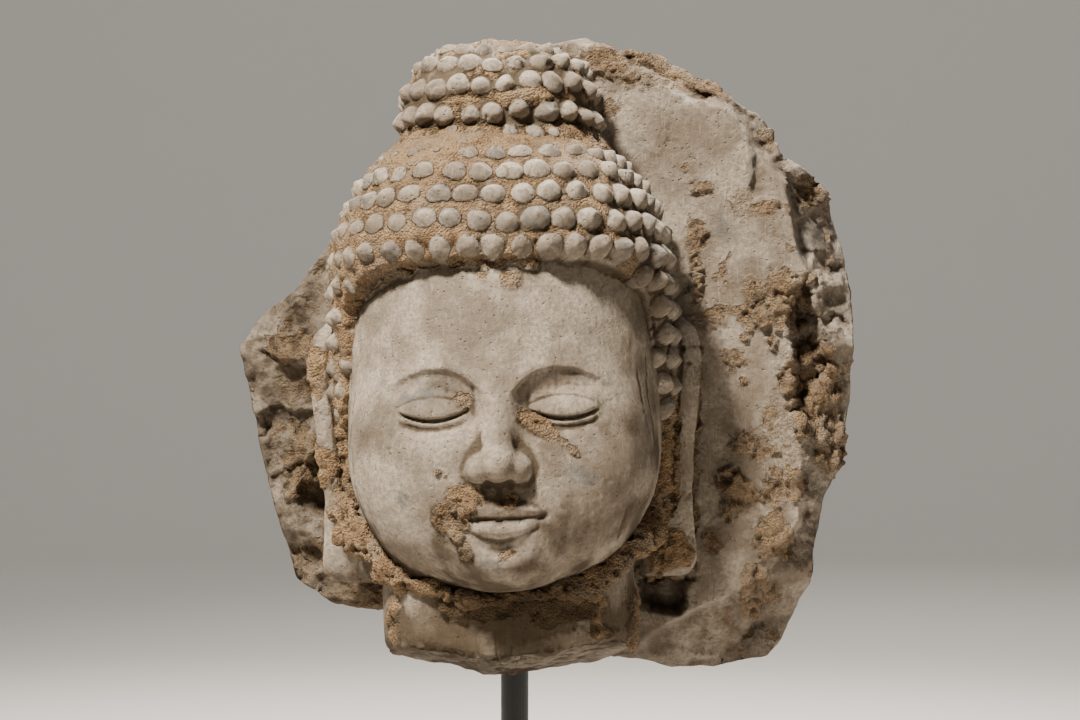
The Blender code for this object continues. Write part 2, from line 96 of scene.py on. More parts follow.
# The ears: share of the height, middle of the width, width, how far out the face lies
EAR_TOP, EAR_END = 149.0, -1.4
EAR_PROFILE = (
    (0.00, 8, 19, 104), (0.04, 8, 22, 108), (0.25, 6, 20, 106), (0.45, 5, 24, 105), (0.62, 5, 33, 108),
    (0.82, 7, 38, 111), (0.93, 8, 30, 110), (0.98, 8, 18, 104), (1.00, 8, 6, 97),
)
EAR_DEEP = 24.0  # from the face of the ear into the head

# The slab
SLAB_CENTRE = (15.0, 300.0)  # x, z
SLAB_FRONT, SLAB_BACK = 7.0, 61.0  # y of its unbroken planes
SLAB_INSIDE = (15.0, 30.0, 300.0)  # a point inside it
SLAB_DEEPEST, SLAB_THINNEST = 46, 6  # how deep the front is broken at most, and what stays between
FRONT_BREAKS = (  # way out (0 right, 90 up), distance from the centre, slope
    (-8, 156, 0.75), (14, 158, 0.9), (36, 170, 0.6), (62, 176, 0.55), (84, 182, 0.7), (-32, 172, 0.6),
    (-62, 170, 1.3), (-84, 168, 1.5), (-108, 168, 1.2), (-136, 150, 0.5), (-160, 118, 0.35),
    (178, 122, 0.3), (152, 130, 0.5), (118, 168, 0.5),
)
BACK_BREAKS = (
    (4, 170, 0.5), (30, 176, 0.8), (57, 160, 0.4), (88, 176, 0.7), (121, 158, 0.5), (150, 150, 0.8),
    (-178, 150, 0.45), (-150, 160, 0.9), (-121, 172, 0.5), (-90, 160, 0.6), (-60, 178, 0.5),
    (-28, 176, 0.9),
)
HOLLOWS = (  # x, z, half width, half height, depth below the slab's front
    (-119, 211, 19, 25, 30), (-112, 170, 20, 12, 26), (-152, 262, 17, 12, 24), (172, 300, 12, 50, 24),
)
HEWN = ((13, 30, 181), (7, 13, 187), (2.6, 6, 189))  # the front's broken facets: height, size, seed
NOOK = ((82, 166, 17, 9, 22, 1), (93, 160, 8, 9, 0, 1))  # below the right lobe, given as SLAB_CRUST is
LEDGES = (  # steps in the broken stone: x, z at the left and right end, drop below the line, how far it fades
    (-152, 306, -108, 288, 5.0, 17), (-160, 268, -108, 276, 3.5, 22), (-140, 196, -96, 180, 5.0, 16),
    (-150, 236, -112, 244, 3.0, 14), (150, 372, 192, 360, 4.0, 20), (160, 338, 198, 322, 4.0, 16),
    (148, 206, 184, 190, 3.0, 18), (140, 414, 180, 404, 3.5, 22), (90, 466, 140, 446, 3.0, 12),
)
SLAB_EDGE = (  # the broken edge seen from the front, (x, z), clockwise from the top
    (23, 485), (41, 490), (54, 483), (80, 481), (89, 476), (107, 466), (116, 464), (130, 452), (143, 445),
    (158, 420), (172, 413), (186, 398), (187, 387), (195, 361), (199, 341), (199, 318), (197, 276),
    (194, 243), (189, 233), (181, 220), (176, 187), (175, 167), (168, 157), (158, 132), (150, 122),
    (117, 116), (91, 116), (73, 122), (35, 128), (-13, 121), (-51, 129), (-76, 152), (-109, 155),
    (-132, 171), (-137, 182), (-154, 248), (-163, 294), (-166, 308), (-152, 328), (-132, 341), (-98, 386),
    (-67, 424), (-54, 468), (-39, 480), (-10, 485),
)

# How finely the surfaces are laid out: rows, columns
SKIN_GRID = (255, 378)
CAP_GRID = (196, 484)
BUN_GRID = (130, 360)
EAR_GRID = (170, 84)
SLAB_HIDDEN_ROWS, SLAB_FRONT_ROWS, SLAB_RIM_ROWS, SLAB_BACK_ROWS = 16, 88, 13, 28
SLAB_COLUMNS = 680


def blend(a, b, reach):
    """The union of two fields, rounded over reach where they meet."""
    near = np.clip(reach - np.abs(a - b), 0, None)
    return np.minimum(a, b) - near * near / (4 * reach)


def carve(a, b, reach):
    """Field a with b cut out of it, the rim rounded over reach."""
    return -blend(-a, b, reach)


def egg(p, centre, radii, power=2.0):
    """About the distance to an ellipsoid; a power over 2 squares it up."""
    q = np.abs(p - np.array(centre)) / radii
    size = (q**power).sum(-1) ** (1 / power) + 1e-9
    slope = np.sqrt(((q ** (power - 1) / radii) ** 2).sum(-1)) * size ** (1 - power) + 1e-9
    return (size - 1) / slope


def bar(p, start, end, start_radius, end_radius):
    """The distance to a tapered round bar."""
    start, run = np.array(start), np.subtract(end, start)
    t = np.clip(((p - start) @ run) / (run @ run), 0, 1)
    away = np.linalg.norm(p - start - t[..., None] * run, axis=-1)
    return away - start_radius - t * (end_radius - start_radius)


def bump(x, centre, width):
    """A bell curve of height 1."""
    return np.exp(-(((x - centre) / width) ** 2))


def ease(x, start, end):
    """From 0 at start to 1 at end, level at both."""
    t = np.clip((x - start) / (end - start), 0, 1)
    return t * t * (3 - 2 * t)


def scatter(cell, seed):
    """A fixed random number from 0 to 1 for each whole-numbered cell."""
    x, y, z = np.moveaxis(cell, -1, 0)
    mixed = (x * 73856093) ^ (y * 19349663) ^ (z * 83492791) ^ (seed * 2654435)
    mixed = (mixed ^ (mixed >> 13)) * 1274126177 & 0x7FFFFFFF
    return (mixed ^ (mixed >> 16)) % 20011 / 20010.0


def noise(p, size, seed):
    """Smooth random heights from -1 to 1: each cell corner's own number, eased between the corners."""
    q = p / size + seed * 17.3
    cell = np.floor(q).astype(np.int64)
    share = q - cell
    share = share * share * (3 - 2 * share)
    total = 0
    for corner in np.ndindex(2, 2, 2):
        weight = np.prod(np.where(corner, share, 1 - share), axis=-1)
        total = total + weight * (2 * scatter(cell + corner, seed) - 1)
    return total


def rough(p, size, seed, layers=3):
    """Noise of halving sizes and heights, laid on one another."""
    return sum(noise(p, size / 2**k, seed + k) / 2**k for k in range(layers))


def grains(p, size, seed):
    """Packed grains: 1 less the distance, in cells, to the nearest of the points set one to a cell."""
    q = p / size + seed * 7.7
    cell = np.floor(q).astype(np.int64)
    nearest = np.full(p.shape[:-1], 9.0)
    for step in np.ndindex(3, 3, 3):
        near = cell + step - 1
        place = np.stack([scatter(near, seed + k) for k in range(3)], -1) * 0.8 + 0.1
        nearest = np.minimum(nearest, ((near + place - q) ** 2).sum(-1))
    return 1 - np.sqrt(nearest)


def hewn(x, z, size, seed):
    """Broken stone's facets, 0 to about 1: at each point the lowest of the tilted planes set one to a cell.

    Further than half a cell from its middle a plane curves up, so that it stays near its cell.
    """
    q_x, q_z = x / size, z / size
    cell = np.stack([np.floor(q_x), np.floor(q_z), 0 * x], -1).astype(np.int64)
    lowest = np.full(x.shape, 9.0)
    for step in np.ndindex(3, 3):
        near = cell + (step[0] - 1, step[1] - 1, 0)
        level, tilt_x, tilt_z, off_x, off_z = (scatter(near, seed + k) for k in range(5))
        dx, dz = q_x - near[..., 0] - 0.1 - 0.8 * off_x, q_z - near[..., 1] - 0.1 - 0.8 * off_z
        plane = 0.5 * level + 1.3 * (tilt_x - 0.5) * dx + 1.3 * (tilt_z - 0.5) * dz
        lowest = np.minimum(lowest, plane + 2.2 * np.clip(np.hypot(dx, dz) - 0.5, 0, None) ** 2)
    return lowest


def folded(p):
    """The points with both halves of the head folded onto x > 0."""
    m = p.copy()
    m[..., 0] = np.abs(m[..., 0])
    return m


def skull(p, m):
    """Skull, cheeks, jaw and chin: five blended ellipsoids."""
    f = egg(p, (0, 0, 142), (90, 97, 96))
    f = blend(f, egg(p, (0, -10, 86), (89, 88, 90), 2.3), 16)
    f = blend(f, egg(m, (40, -54, 66), (37, 41, 42)), 24)
    f = blend(f, egg(m, (26, -50, 36), (34, 40, 32)), 22)
    return blend(f, egg(p, (0, -74, 18), (25, 27, 19)), 20)


def features(p, m, f):
    """Sockets, eyeballs, nose, lips and chin crease, worked into the field f."""
    f = carve(f, egg(m, (EYE_WIDTH + 1, -109, EYE + 2), (27, 16.5, 14.5)), 12)
    f = carve(f, egg(m, (15.5, -106.5, EYE + 3), (8, 8, 11)), 9)
    f = blend(f, egg(m, (EYE_WIDTH, -79.5, EYE - 1.5), (22, 18, 14)), 4)
    f = blend(f, egg(p, (0, -84, MOUTH + 1), (29, 17.5, 24)), 16)
    f = blend(f, bar(p, (0, -91, BROW + 6), (0, -107.5, NOSE + 15), 5.8, 7.6), 12)
    f = blend(f, egg(p, (0, -108, NOSE + 10.5), (9.8, 11.5, 9.4)), 5)
    f = blend(f, egg(m, (11.4, -101.5, NOSE + 8), (6.2, 9.8, 7.2)), 5)
    f = carve(f, egg(m, (5.8, -106, NOSE - 1), (2.8, 5.5, 3.4)), 2)
    f = blend(f, egg(m, (7.5, -97.6, MOUTH + 4.6), (15.5, 8.2, 5.2)), 3)
    f = blend(f, egg(p, (0, -98.4, MOUTH - 5.6), (16.5, 8, 6.2)), 3)
    return carve(f, egg(p, (0, -111.5, MOUTH - 16.5), (16, 9, 5)), 8)


def lines(m):
    """Carved lines of the face, as a height to add: brow, lids, lips, upper lip groove and nose wings."""
    x, z = m[..., 0], m[..., 2]
    arch = BROW + 5.5 - 15 * np.clip((32 - x) / 26, 0, 1.2) ** 2 - 9.5 * np.clip((x - 32) / 28, 0, 1.6) ** 2
    up = z - arch
    brow = np.where(up > 0, bump(up, 0, 8.5), bump(up, 0, 2.6))
    h = 2.2 * brow * ease(x, 4, 13) * (1 - ease(x, 46, 72))
    t = (x - EYE_WIDTH) / (EYE_WIDTH / 2)
    lid_share = 1 - ease(np.abs(t), 0.84, 1.12)
    slit = EYE - 2.5 - 4.0 * (1 - t * t)
    up = z - slit
    h = h + lid_share * 1.6 * ease(up, -0.4, 0.7) * bump(np.clip(up, 0, None), 0, 8)
    h = h - lid_share * 1.3 * bump(up, -1.1, 0.9) + lid_share * 1.0 * bump(up, -3.4, 1.6)
    h = h - lid_share * 0.5 * bump(up, -6.4, 1.8)
    crease = slit + 3.2 + 8.5 * (1 - np.clip(t, -1.2, 1.2) ** 2)
    h = h - (1 - ease(np.abs(t), 0.8, 1.25)) * 0.8 * bump(z, crease, 1.1)
    lip_line = MOUTH + 0.2 - 0.9 * bump(x, 0, 4.5) + 1.4 * (x / 24) ** 2
    mouth_share = 1 - ease(x, 17, 25)
    h = h - (1 - ease(x, 20, 27)) * 1.5 * bump(z, lip_line, 1.0)
    h = h - 1.5 * bump(np.hypot(x - 24, (z - lip_line) * 1.2), 0, 2.8)
    upper = lip_line + 7.2 - 5.6 * (x / 24) ** 2 + 1.2 * bump(x, 5.5, 3.5) - 1.4 * bump(x, 0, 2.6)
    lower = lip_line - 9.0 + 7.4 * (x / 24) ** 2
    h = h + mouth_share * 0.9 * bump(z, upper, 1.2) * ease(x, -1, 1)
    h = h - mouth_share * 0.5 * bump(z, upper + 2.6, 1.8)
    h = h + mouth_share * 0.9 * (1 - ease(np.abs(z - (lip_line + lower) / 2), 2.2, 4.8))
    h = h - mouth_share * 0.5 * bump(z, lower - 1.8, 1.6)
    groove = ease(z, MOUTH + 8, MOUTH + 12) * (1 - ease(z, NOSE - 3, NOSE + 2))
    h = h + groove * (0.3 * bump(x, 4.6, 2.6) - 0.6 * bump(x, 0, 2.8))
    wing = np.hypot(x - 10.5, z - (NOSE + 7.5))
    h = h - 0.3 * bump(wing, 9.8, 2.4) * ease(x, 11, 17) * (1 - ease(z, NOSE + 8, NOSE + 16))
    return h * ease(-m[..., 1], 30, 60)


def back_plane(p):
    """The flat at the back, flush with the slab's back."""
    return p[..., 1] - (SLAB_BACK - 9 - HEAD_PLACE[1])


def neck_floor(x, y):
    """The level of the neck's broken underside: it rises to both sides of its lowest point, and forwards."""
    across = x - NECK_END[0]
    left, right, front = NECK_SLOPES
    return NECK_END[1] + np.maximum(-left * across, right * across) + front * np.clip(-y, 0, None)


def skin_field(p):
    """Face, skull and neck: negative inside."""
    m = folded(p)
    neck = egg(p, (0, -2, 0), (*NECK_HALF, 90), 4)
    neck = np.maximum(neck, neck_floor(p[..., 0], p[..., 1]) - p[..., 2])
    f = blend(features(p, m, skull(p, m)) - lines(m), neck, 5)
    return np.maximum(f, back_plane(p))


def hair_field(p):
    """The hair's own surface between the curls: a cap, and a skin over the sides of the skull."""
    f = blend(egg(p, CAP_CENTRE, CAP_RADII, 2.5), skull(p, folded(p)) - HAIR_THICK, 6)
    return np.maximum(f, back_plane(p))


def bun_field(p):
    """The bun on the crown, between its curls."""
    return np.maximum(egg(p, BUN_CENTRE, BUN_RADII, 2.4), back_plane(p))


def trace(field, origin, way, near=5.0, far=190.0, steps=20):
    """The point of each ray where the field turns positive, found by halving."""
    low = np.full(way.shape[:-1], near)
    high = np.full(way.shape[:-1], far)
    for _ in range(steps):
        middle = (low + high) / 2
        outside = field(origin + way * middle[..., None]) > 0
        high = np.where(outside, middle, high)
        low = np.where(outside, low, middle)
    return origin + way * ((low + high) / 2)[..., None]


def heading(turn, lift):
    """Unit vectors for angles round from the front (to the right) and up from level."""
    turn, lift = np.radians(turn), np.radians(lift)
    return np.stack([np.sin(turn) * np.cos(lift), -np.cos(turn) * np.cos(lift), np.sin(lift)], -1)


# Ray fan of the skin: share of the rows, height of the ray's start, its lift
SKIN_FAN = (
    (0.00, 150, 90), (0.01, 150, 40), (0.03, 150, 20), (0.08, 147, 9), (0.20, 134, -2), (0.38, 117, -10),
    (0.54, 98, -17), (0.68, 80, -22), (0.79, 60, -28), (0.85, 46, -32), (0.90, 24, -34), (0.94, 0, -36),
    (0.97, -8, -46), (0.985, -14, -60), (1.00, -14, -90),
)


def skin_points(rows, columns):
    """Rays from the skull's axis, close together at the front; the few behind 116 degrees lie in the slab."""
    fan = np.array(SKIN_FAN)
    share = np.linspace(0, 1, rows)
    start, lift = (np.interp(share, fan[:, 0], fan[:, k]) for k in (1, 2))
    u = np.linspace(-1, 1, columns, endpoint=False)
    v = np.clip(np.abs(u) / 0.93, 0, 1)
    turn = np.sign(u) * (116 * (0.55 * v + 0.45 * v**3) + 64 * np.clip((np.abs(u) - 0.93) / 0.07, 0, 1))
    turn, lift = np.meshgrid(turn, lift)
    start = np.broadcast_to(start[:, None], turn.shape)
    return trace(skin_field, np.stack([0 * start, 0 * start - 8, start], -1), heading(turn, lift))


def hairline(turn):
    """The rise of the lowest curls at a turn from the front: level over the brow, then down the temples."""
    return HAIR_LOW - HAIR_DROP * np.clip(np.abs(turn) / HAIRLINE_SIDE, 0, 1) ** 3.2


def hair_rim(turn):
    """The rise at which the hair ends: the hairline, a tongue before each ear, and level behind it."""
    side = np.abs(turn)
    return np.where(side < RIM_SIDES[0], hairline(turn) - 1.1, np.interp(side, RIM_SIDES, RIM_RISES))


def rim_gap(turn, rise, per_degree):
    """How far inside the hair's edge a point lies, in mm; negative outside."""
    gap = np.full(turn.shape, 99.0)
    steep = np.arange(60, 74, 0.1)  # before the ears the edge falls off, so it is taken more finely
    for at in np.concatenate([np.arange(-CAP_TURN, CAP_TURN + 0.1, 0.5), steep, -steep]):
        gap = np.minimum(gap, np.hypot(turn - at, rise - hair_rim(at)) * per_degree)
    return np.where(rise > hair_rim(turn), gap, -gap)


def in_cap(turn, rise):
    """Whether a curl belongs there: above the brow, behind the temples, and before the ears lower down."""
    if abs(turn) < HAIRLINE_SIDE + 1:
        return rise > hairline(turn) - 1 or (abs(turn) > TONGUE_TURN and rise > TONGUE_RISE)
    return abs(turn) <= (CURL_REACH if rise > EAR_RISE else EAR_TURN)


def in_bun(turn, rise):
    """Whether a curl belongs there: all round but where the slab covers it, at any rise."""
    return abs(turn) <= CURL_REACH


def curl_spots(rows, low, step, radius, wanted):
    """Each curl's turn and rise: every row half a curl off the one below, drooping to the sides."""
    rng = np.random.default_rng(11)
    spots = []
    for row in range(rows[0], rows[1] + 1):
        rise = low + step * row
        level = math.cos(math.radians(max(rise, 0)))
        gap = math.degrees(CURL_PITCH / (radius * level))
        for k in range(-14, 15):
            turn = (k + 0.5 * (row % 2)) * gap
            shake = rng.normal(0, CURL_SHAKE, 2)
            if abs(turn) < 180 and wanted(turn, rise):
                droop = ROW_DROOP * (1 - math.cos(math.radians(turn))) * level
                spots.append((turn + shake[0] / level, rise - droop + shake[1]))
    return np.array(spots)


def curl_heights(turn, rise, radius, spots, worn, stray, seed):
    """Height of the curls over the hair's surface: on each spot a bead, tall * (1 - q^2)^0.7.

    q is the distance from the bead's top over its half width; it is longer above the top than below, so a
    curl's underside is steep. To the sides the beads come to a point above. A small bell curve stands on
    each top. Worn lowers them towards the crown, stray is how far they stand off their places, in mm.
    """
    rng = np.random.default_rng(seed)
    height = np.zeros(turn.shape)
    own = np.zeros(turn.shape)
    per_degree = radius * math.pi / 180
    warp = np.stack([turn, rise, 0 * turn], -1) * per_degree
    warp_x, warp_z = 0.8 * noise(warp, 7, seed + 5), 0.8 * noise(warp, 7, seed + 6)
    for spot_turn, spot_rise in spots:
        size, tall, tip, squash, off_x, off_z = rng.normal(0, 1, 6).clip(-1.7, 1.7)
        level = math.cos(math.radians(max(spot_rise, 0)))
        across = (turn - spot_turn) * level * per_degree - stray * off_x
        along = (rise - spot_rise) * per_degree - stray * off_z
        near = (np.abs(across) < 12) & (np.abs(along) < 15)
        x, z = across[near] + warp_x[near], along[near] + warp_z[near]
        side = float(ease(abs(spot_turn), 50, 76))
        z = z + 0.5 * side
        half_x = (CURL_WIDE + (0.25 + 0.5 * stray) * size) * (1 - 0.10 * side)
        half_up = (CURL_UP + 0.3 * size + 0.3 * squash) * (1 + 0.12 * side)
        lowest = float(abs(spot_rise - hairline(spot_turn)) < 3)
        half_down = (CURL_DOWN + 0.2 * size) * (1 - 0.04 * side) * (1 - 0.12 * lowest)
        taper = 1 - (0.05 + 0.22 * side) * z / half_up
        q = np.hypot(x / (half_x * np.clip(taper, 0.35, 1.3)), z / np.where(z > 0, half_up, half_down))
        peak = (CURL_HEIGHT + (0.3 + 0.4 * stray) * tall) * (1 - worn * float(ease(spot_rise, 30, 75)))
        bead = peak * (1 - 0.1 * side) * (1 - np.clip(q, 0, 1) ** 2) ** 0.7
        bead = bead + (1.1 + 0.35 * tip) * np.exp(-((q / 0.3) ** 2))
        height[near] = np.maximum(height[near], np.where(q < 1, bead, 0))
        own[near] = np.where(q < 1, tip, own[near])
    return height, own


def cover(p, x, z, patches, seed, soft=0.2):
    """How much lies on each point, 0 to 1, and how thick it is, from ragged oval patches.

    A patch is (x, z, half width, half height, tilt, thickness). Its edge wanders by noise of 14 mm with its
    halvings and of 2.6 mm, so that islands break off it; a greater soft lets it fade out.
    """
    wander = 0.5 * rough(p, 14, seed, 4) + 0.24 * noise(p, 2.6, seed + 9)
    best = np.zeros(p.shape[:-1])
    thick = np.zeros(p.shape[:-1])
    for middle_x, middle_z, half_x, half_z, tilt, deep in patches:
        c, s = math.cos(math.radians(tilt)), math.sin(math.radians(tilt))
        u = ((x - middle_x) * c + (z - middle_z) * s) / half_x
        v = ((z - middle_z) * c - (x - middle_x) * s) / half_z
        share = ease(1 - np.hypot(u, v) + wander, 0.0, soft)
        best = np.maximum(best, share)
        thick = np.maximum(thick, share * deep)
    return best, thick


def crumbs(p, share, thick, seed):
    """Height of caked earth: its thickness in lumps of up to 10 mm less pits of up to 6 mm, and grains."""
    where = share > 0.01
    height = np.zeros(share.shape)
    q = p[where]
    lumps = 0.8 + 0.8 * rough(q, 10, seed, 4)
    pits = ease(rough(q, 6, seed + 7, 3), 0.15, 0.75)
    grit = 0.3 * grains(q, 3.2, seed + 3) + 0.5 * grains(q, 1.8, seed + 4)
    grit = np.clip(grit + 0.9 * rough(q, 5, seed + 5, 3) - 0.25, -0.6, None)
    height[where] = thick[where] * np.clip(lumps - 1.2 * pits, 0, None) + share[where] * grit
    return height


def average(grid, reach, closed):
    """Each point's mean with its neighbours up to reach rows and columns away."""
    for axis, wraps in ((1, closed), (0, False)):
        mode = "wrap" if wraps else "edge"
        width = [(0, 0)] * grid.ndim
        width[axis] = (reach + 1, reach)
        total = np.cumsum(np.pad(grid, width, mode), axis)
        count = total.shape[axis]
        window = 2 * reach + 1
        upper, lower = np.take(total, range(window, count), axis), np.take(total, range(count - window), axis)
        grid = (upper - lower) / window
    return grid


def normals(grid, closed, inside):
    """Unit normals, away from a point inside: the cross product of the differences along rows and columns."""
    if closed:
        along = np.roll(grid, -1, 1) - np.roll(grid, 1, 1)
    else:
        along = np.gradient(grid, axis=1)
    normal = np.cross(along, np.gradient(grid, axis=0))
    normal /= np.linalg.norm(normal, axis=-1, keepdims=True) + 1e-9
    return normal if (normal * (grid - inside)).sum() > 0 else -normal


def hollow(grid, closed, inside, reach):
    """How far the neighbours' mean stands over each point, along its normal: positive in a dip."""
    away = average(grid, reach, closed) - grid
    return (away * normals(grid, closed, inside)).sum(-1)


def to_world(points):
    """From the head's frame to the world: lean the head, then set it in place."""
    lean = math.radians(-HEAD_LEAN)
    x = points[..., 0] * math.cos(lean) + points[..., 2] * math.sin(lean)
    z = points[..., 2] * math.cos(lean) - points[..., 0] * math.sin(lean)
    return np.stack([x, points[..., 1], z], -1) + HEAD_PLACE


def quads(rows, columns, closed):
    """Corner numbers of a grid's squares, and of its open edges as runs of corners."""
    last = columns if closed else columns - 1
    i, j = np.arange(rows - 1)[:, None] * columns, np.arange(last)[None]
    k = (j + 1) % columns
    faces = np.stack([i + j, i + k, i + columns + k, i + columns + j], -1).reshape(-1, 4)
    if closed:
        top, end = np.arange(columns + 1) % columns, (rows - 1) * columns + np.arange(columns + 1) % columns
        return faces, [top, end[::-1]]
    top, right = np.arange(columns), np.arange(1, rows) * columns + columns - 1
    end, left = (rows - 1) * columns + np.arange(columns)[::-1], np.arange(rows - 1)[::-1] * columns
    return faces, [np.concatenate([top, right, end[1:], left])]


def put_in(name, grid, closed, core, material, marks):
    """A closed mesh from a grid of points: its squares, and a fan from each open edge to a point of its own.

    A grid of rings closes at the middle of its first and last ring, an open sheet at core, inside the head.
    Marks are numbers for each point of the grid, which the finish reads.
    """
    rows, columns = grid.shape[:2]
    faces, edges = quads(rows, columns, closed)
    middles = [grid[0].mean(0), grid[-1].mean(0)] if closed else [np.array(core, float)]
    points = np.concatenate([grid.reshape(-1, 3), middles]) / 1000
    fans = []
    for number, edge in enumerate(edges):
        tip = np.full(len(edge) - 1, rows * columns + number)
        fans.append(np.stack([edge[1:], edge[:-1], tip], -1))
    fans = np.concatenate(fans)
    # The signed volume says whether the corners go round the right way
    a, b, c, d = (points[faces[:, k]] for k in range(4))
    volume = (a * (np.cross(b, c) + np.cross(c, d))).sum()
    a, b, c = (points[fans[:, k]] for k in range(3))
    volume += (a * np.cross(b, c)).sum()
    turn = slice(None) if volume > 0 else slice(None, None, -1)
    mesh = bpy.data.meshes.new(name)
    mesh.from_pydata(points.tolist(), [], faces[:, turn].tolist() + fans[:, turn].tolist())
    for mark, values in marks.items():
        ends = [values[0].mean(), values[-1].mean()] if closed else [0.0]
        data = np.concatenate([np.ravel(values), ends]).astype(np.float32)
        mesh.attributes.new(mark, "FLOAT", "POINT").data.foreach_set("value", data)
    mesh.shade_smooth()
    mesh.materials.append(material)
    piece = bpy.data.objects.new(name, mesh)
    bpy.context.scene.collection.objects.link(piece)
    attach(piece, "root")
    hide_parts("stone")


def earth_and_dip_shade(grid, closed, inside, fine=0.22, broad=1.6):
    """Dark earth in small dips and in broad ones; this darkening of every dip is also painted shade."""
    small = ease(hollow(grid, closed, inside, 2), 0.02, fine)
    wide = ease(hollow(grid, closed, inside, 8), 0.15, broad)
    return np.clip(0.55 * small + 0.75 * wide, 0, 1)


# Crust on the face, placed by its own features: x, z, half width, half height, tilt, thickness
FACE_CRUST = (
    (-18, EYE + 4, 8, 6, 20, 1.0), (25, EYE - 13, 17, 4.2, -33, 1.0), (13, EYE - 7, 6, 3.5, -20, 0.8),
    (-24, MOUTH + 5, 13, 15, 12, 1.5), (-14, MOUTH + 11, 10, 8, 30, 1.2), (5, MOUTH + 10, 5, 4, 0, 0.8),
    (3, MOUTH - 19, 4.5, 3, 10, 0.6), (-19, MOUTH - 17, 3.5, 5, 0, 0.6), (40, EYE - 25, 5.5, 2.4, -42, 0.6),
    (-6, FACE_HEIGHT - 4, 4, 3, 0, 0.5), (10, FACE_HEIGHT - 6, 7, 4, -10, 1.0),
)
# Fine upright cracks: turn from the front, lower and upper end
FACE_CRACKS = (
    (-59, 58, 112), (-54, 40, 78), (-64, 78, 132), (58, 74, 128), (53, 96, 118), (42, 22, 44),
    (-5, -50, -22), (2, -46, -30), (8, -52, -24),
)
# Smoky stains: as the crust's patches
FACE_STAINS = (
    (-53, MOUTH + 12, 13, 13, 0, 1), (-38, EYE + 6, 22, 12, 0, 1), (42, MOUTH + 22, 18, 14, 0, 1),
    (-60, FACE_HEIGHT - 42, 16, 12, 0, 1), (30, EYE + 14, 18, 10, 0, 1), (-8, MOUTH - 24, 22, 9, 0, 1),
)


def laid(crust, part, deep):
    """Crust, a share and a thickness, with a further part laid over it: at each point the greater of them."""
    share, thick = crust
    return np.maximum(share, part), np.maximum(thick, deep * part)


def skin_crust(grid, turn, front):
    """Share and thickness of the skin's crust, its share below the jaw, and that of the tongues on the neck.

    Patches on the face, a band as wide as reach under the hair, a bell curve of it below the jaw, and three
    upright bell curves down the neck, each with its edge broken by noise.
    """
    x, y, z = np.moveaxis(grid, -1, 0)
    share, thick = cover(grid, x, z, FACE_CRUST, 31)
    crust = share * front, thick * front
    rise = np.degrees((z - CAP_CENTRE[2]) / CAP_RADII[0])
    below = hair_rim(turn) - rise
    reach = 3.8 - 3.8 * ease(turn, 6, 30) + 2.2 * rough(grid, 12, 41)
    band = ease(reach - below, 0, 1.0) * (np.abs(turn) < 66)
    crust = laid(crust, band, 2.6 + 2.6 * ease(-turn, 0, 40))
    jaw = bump(z, -11, 9) * ease(50 - np.abs(x - 6), 0, 12) + 0.5 * rough(grid, 13, 43)
    jaw = ease(jaw, 0.45, 0.8) * ease(-y, 30, 50) * ease(-z, 3.2, 6)
    tongues = bump(x, -62, 5) * ease(z, -46, -30) + bump(x, 52, 9) * ease(z, -40, -26) * 0.9
    tongues = tongues + bump(x, 70, 5) * ease(z, -60, -30) * 1.1
    tongues = ease(tongues + 0.4 * rough(grid, 12, 45) - 0.45, 0, 0.3) * ease(-z, 2, 12)
    return *laid(laid(crust, jaw, 1.9), tongues, 2.2), jaw, tongues


def skin_cracks(grid, turn):
    """How far each point lies in an upright crack, 0 to 1: a bell curve across a line that noise bends."""
    y, z = grid[..., 1], grid[..., 2]
    split = np.zeros(z.shape)
    for number, (at, low_end, high_end) in enumerate(FACE_CRACKS):
        away = (turn - at) * 1.6 - 2.2 * rough(grid, 20, 200 + number, 5)
        held = ease(z, low_end, low_end + 6) * (1 - ease(z, high_end - 6, high_end)) * (y < 0)
        split = np.maximum(split, bump(away, 0, 0.65) * held)
    return split


def skin_wear(grid, front, under, split):
    """Height to add to the skin: soft unevenness, chips on the neck, scores, cracks, and the broken facets.

    The scores are noise drawn out about tenfold: upright all over the face, level in patches.
    """
    x, y, z = np.moveaxis(grid, -1, 0)
    chips = ease(rough(grid, 17, 47, 4) - 0.95, 0, 0.25) * ease(-z, 6, 20)
    worn = 0.2 * rough(grid, 17, 51, 3) + 0.05 * noise(grid, 1.6, 55) - 0.9 * chips
    upright = np.stack([x + 2 * noise(grid, 30, 58), y, 0.1 * z], -1)
    level = np.stack([0.12 * x, y, z + 0.1 * x + 3 * noise(grid, 24, 48)], -1)
    worn = worn + 0.15 * noise(upright, 2.4, 59) * front
    worn = worn + 0.16 * noise(level, 2.0, 49) * front * ease(rough(grid, 30, 50), -0.5, 0.5)
    worn = worn - 0.7 * split
    return worn + under * (3.4 * hewn(x + 0.4 * y, z + y, 17, 56) - 3.0 + 0.8 * rough(grid, 5, 57))


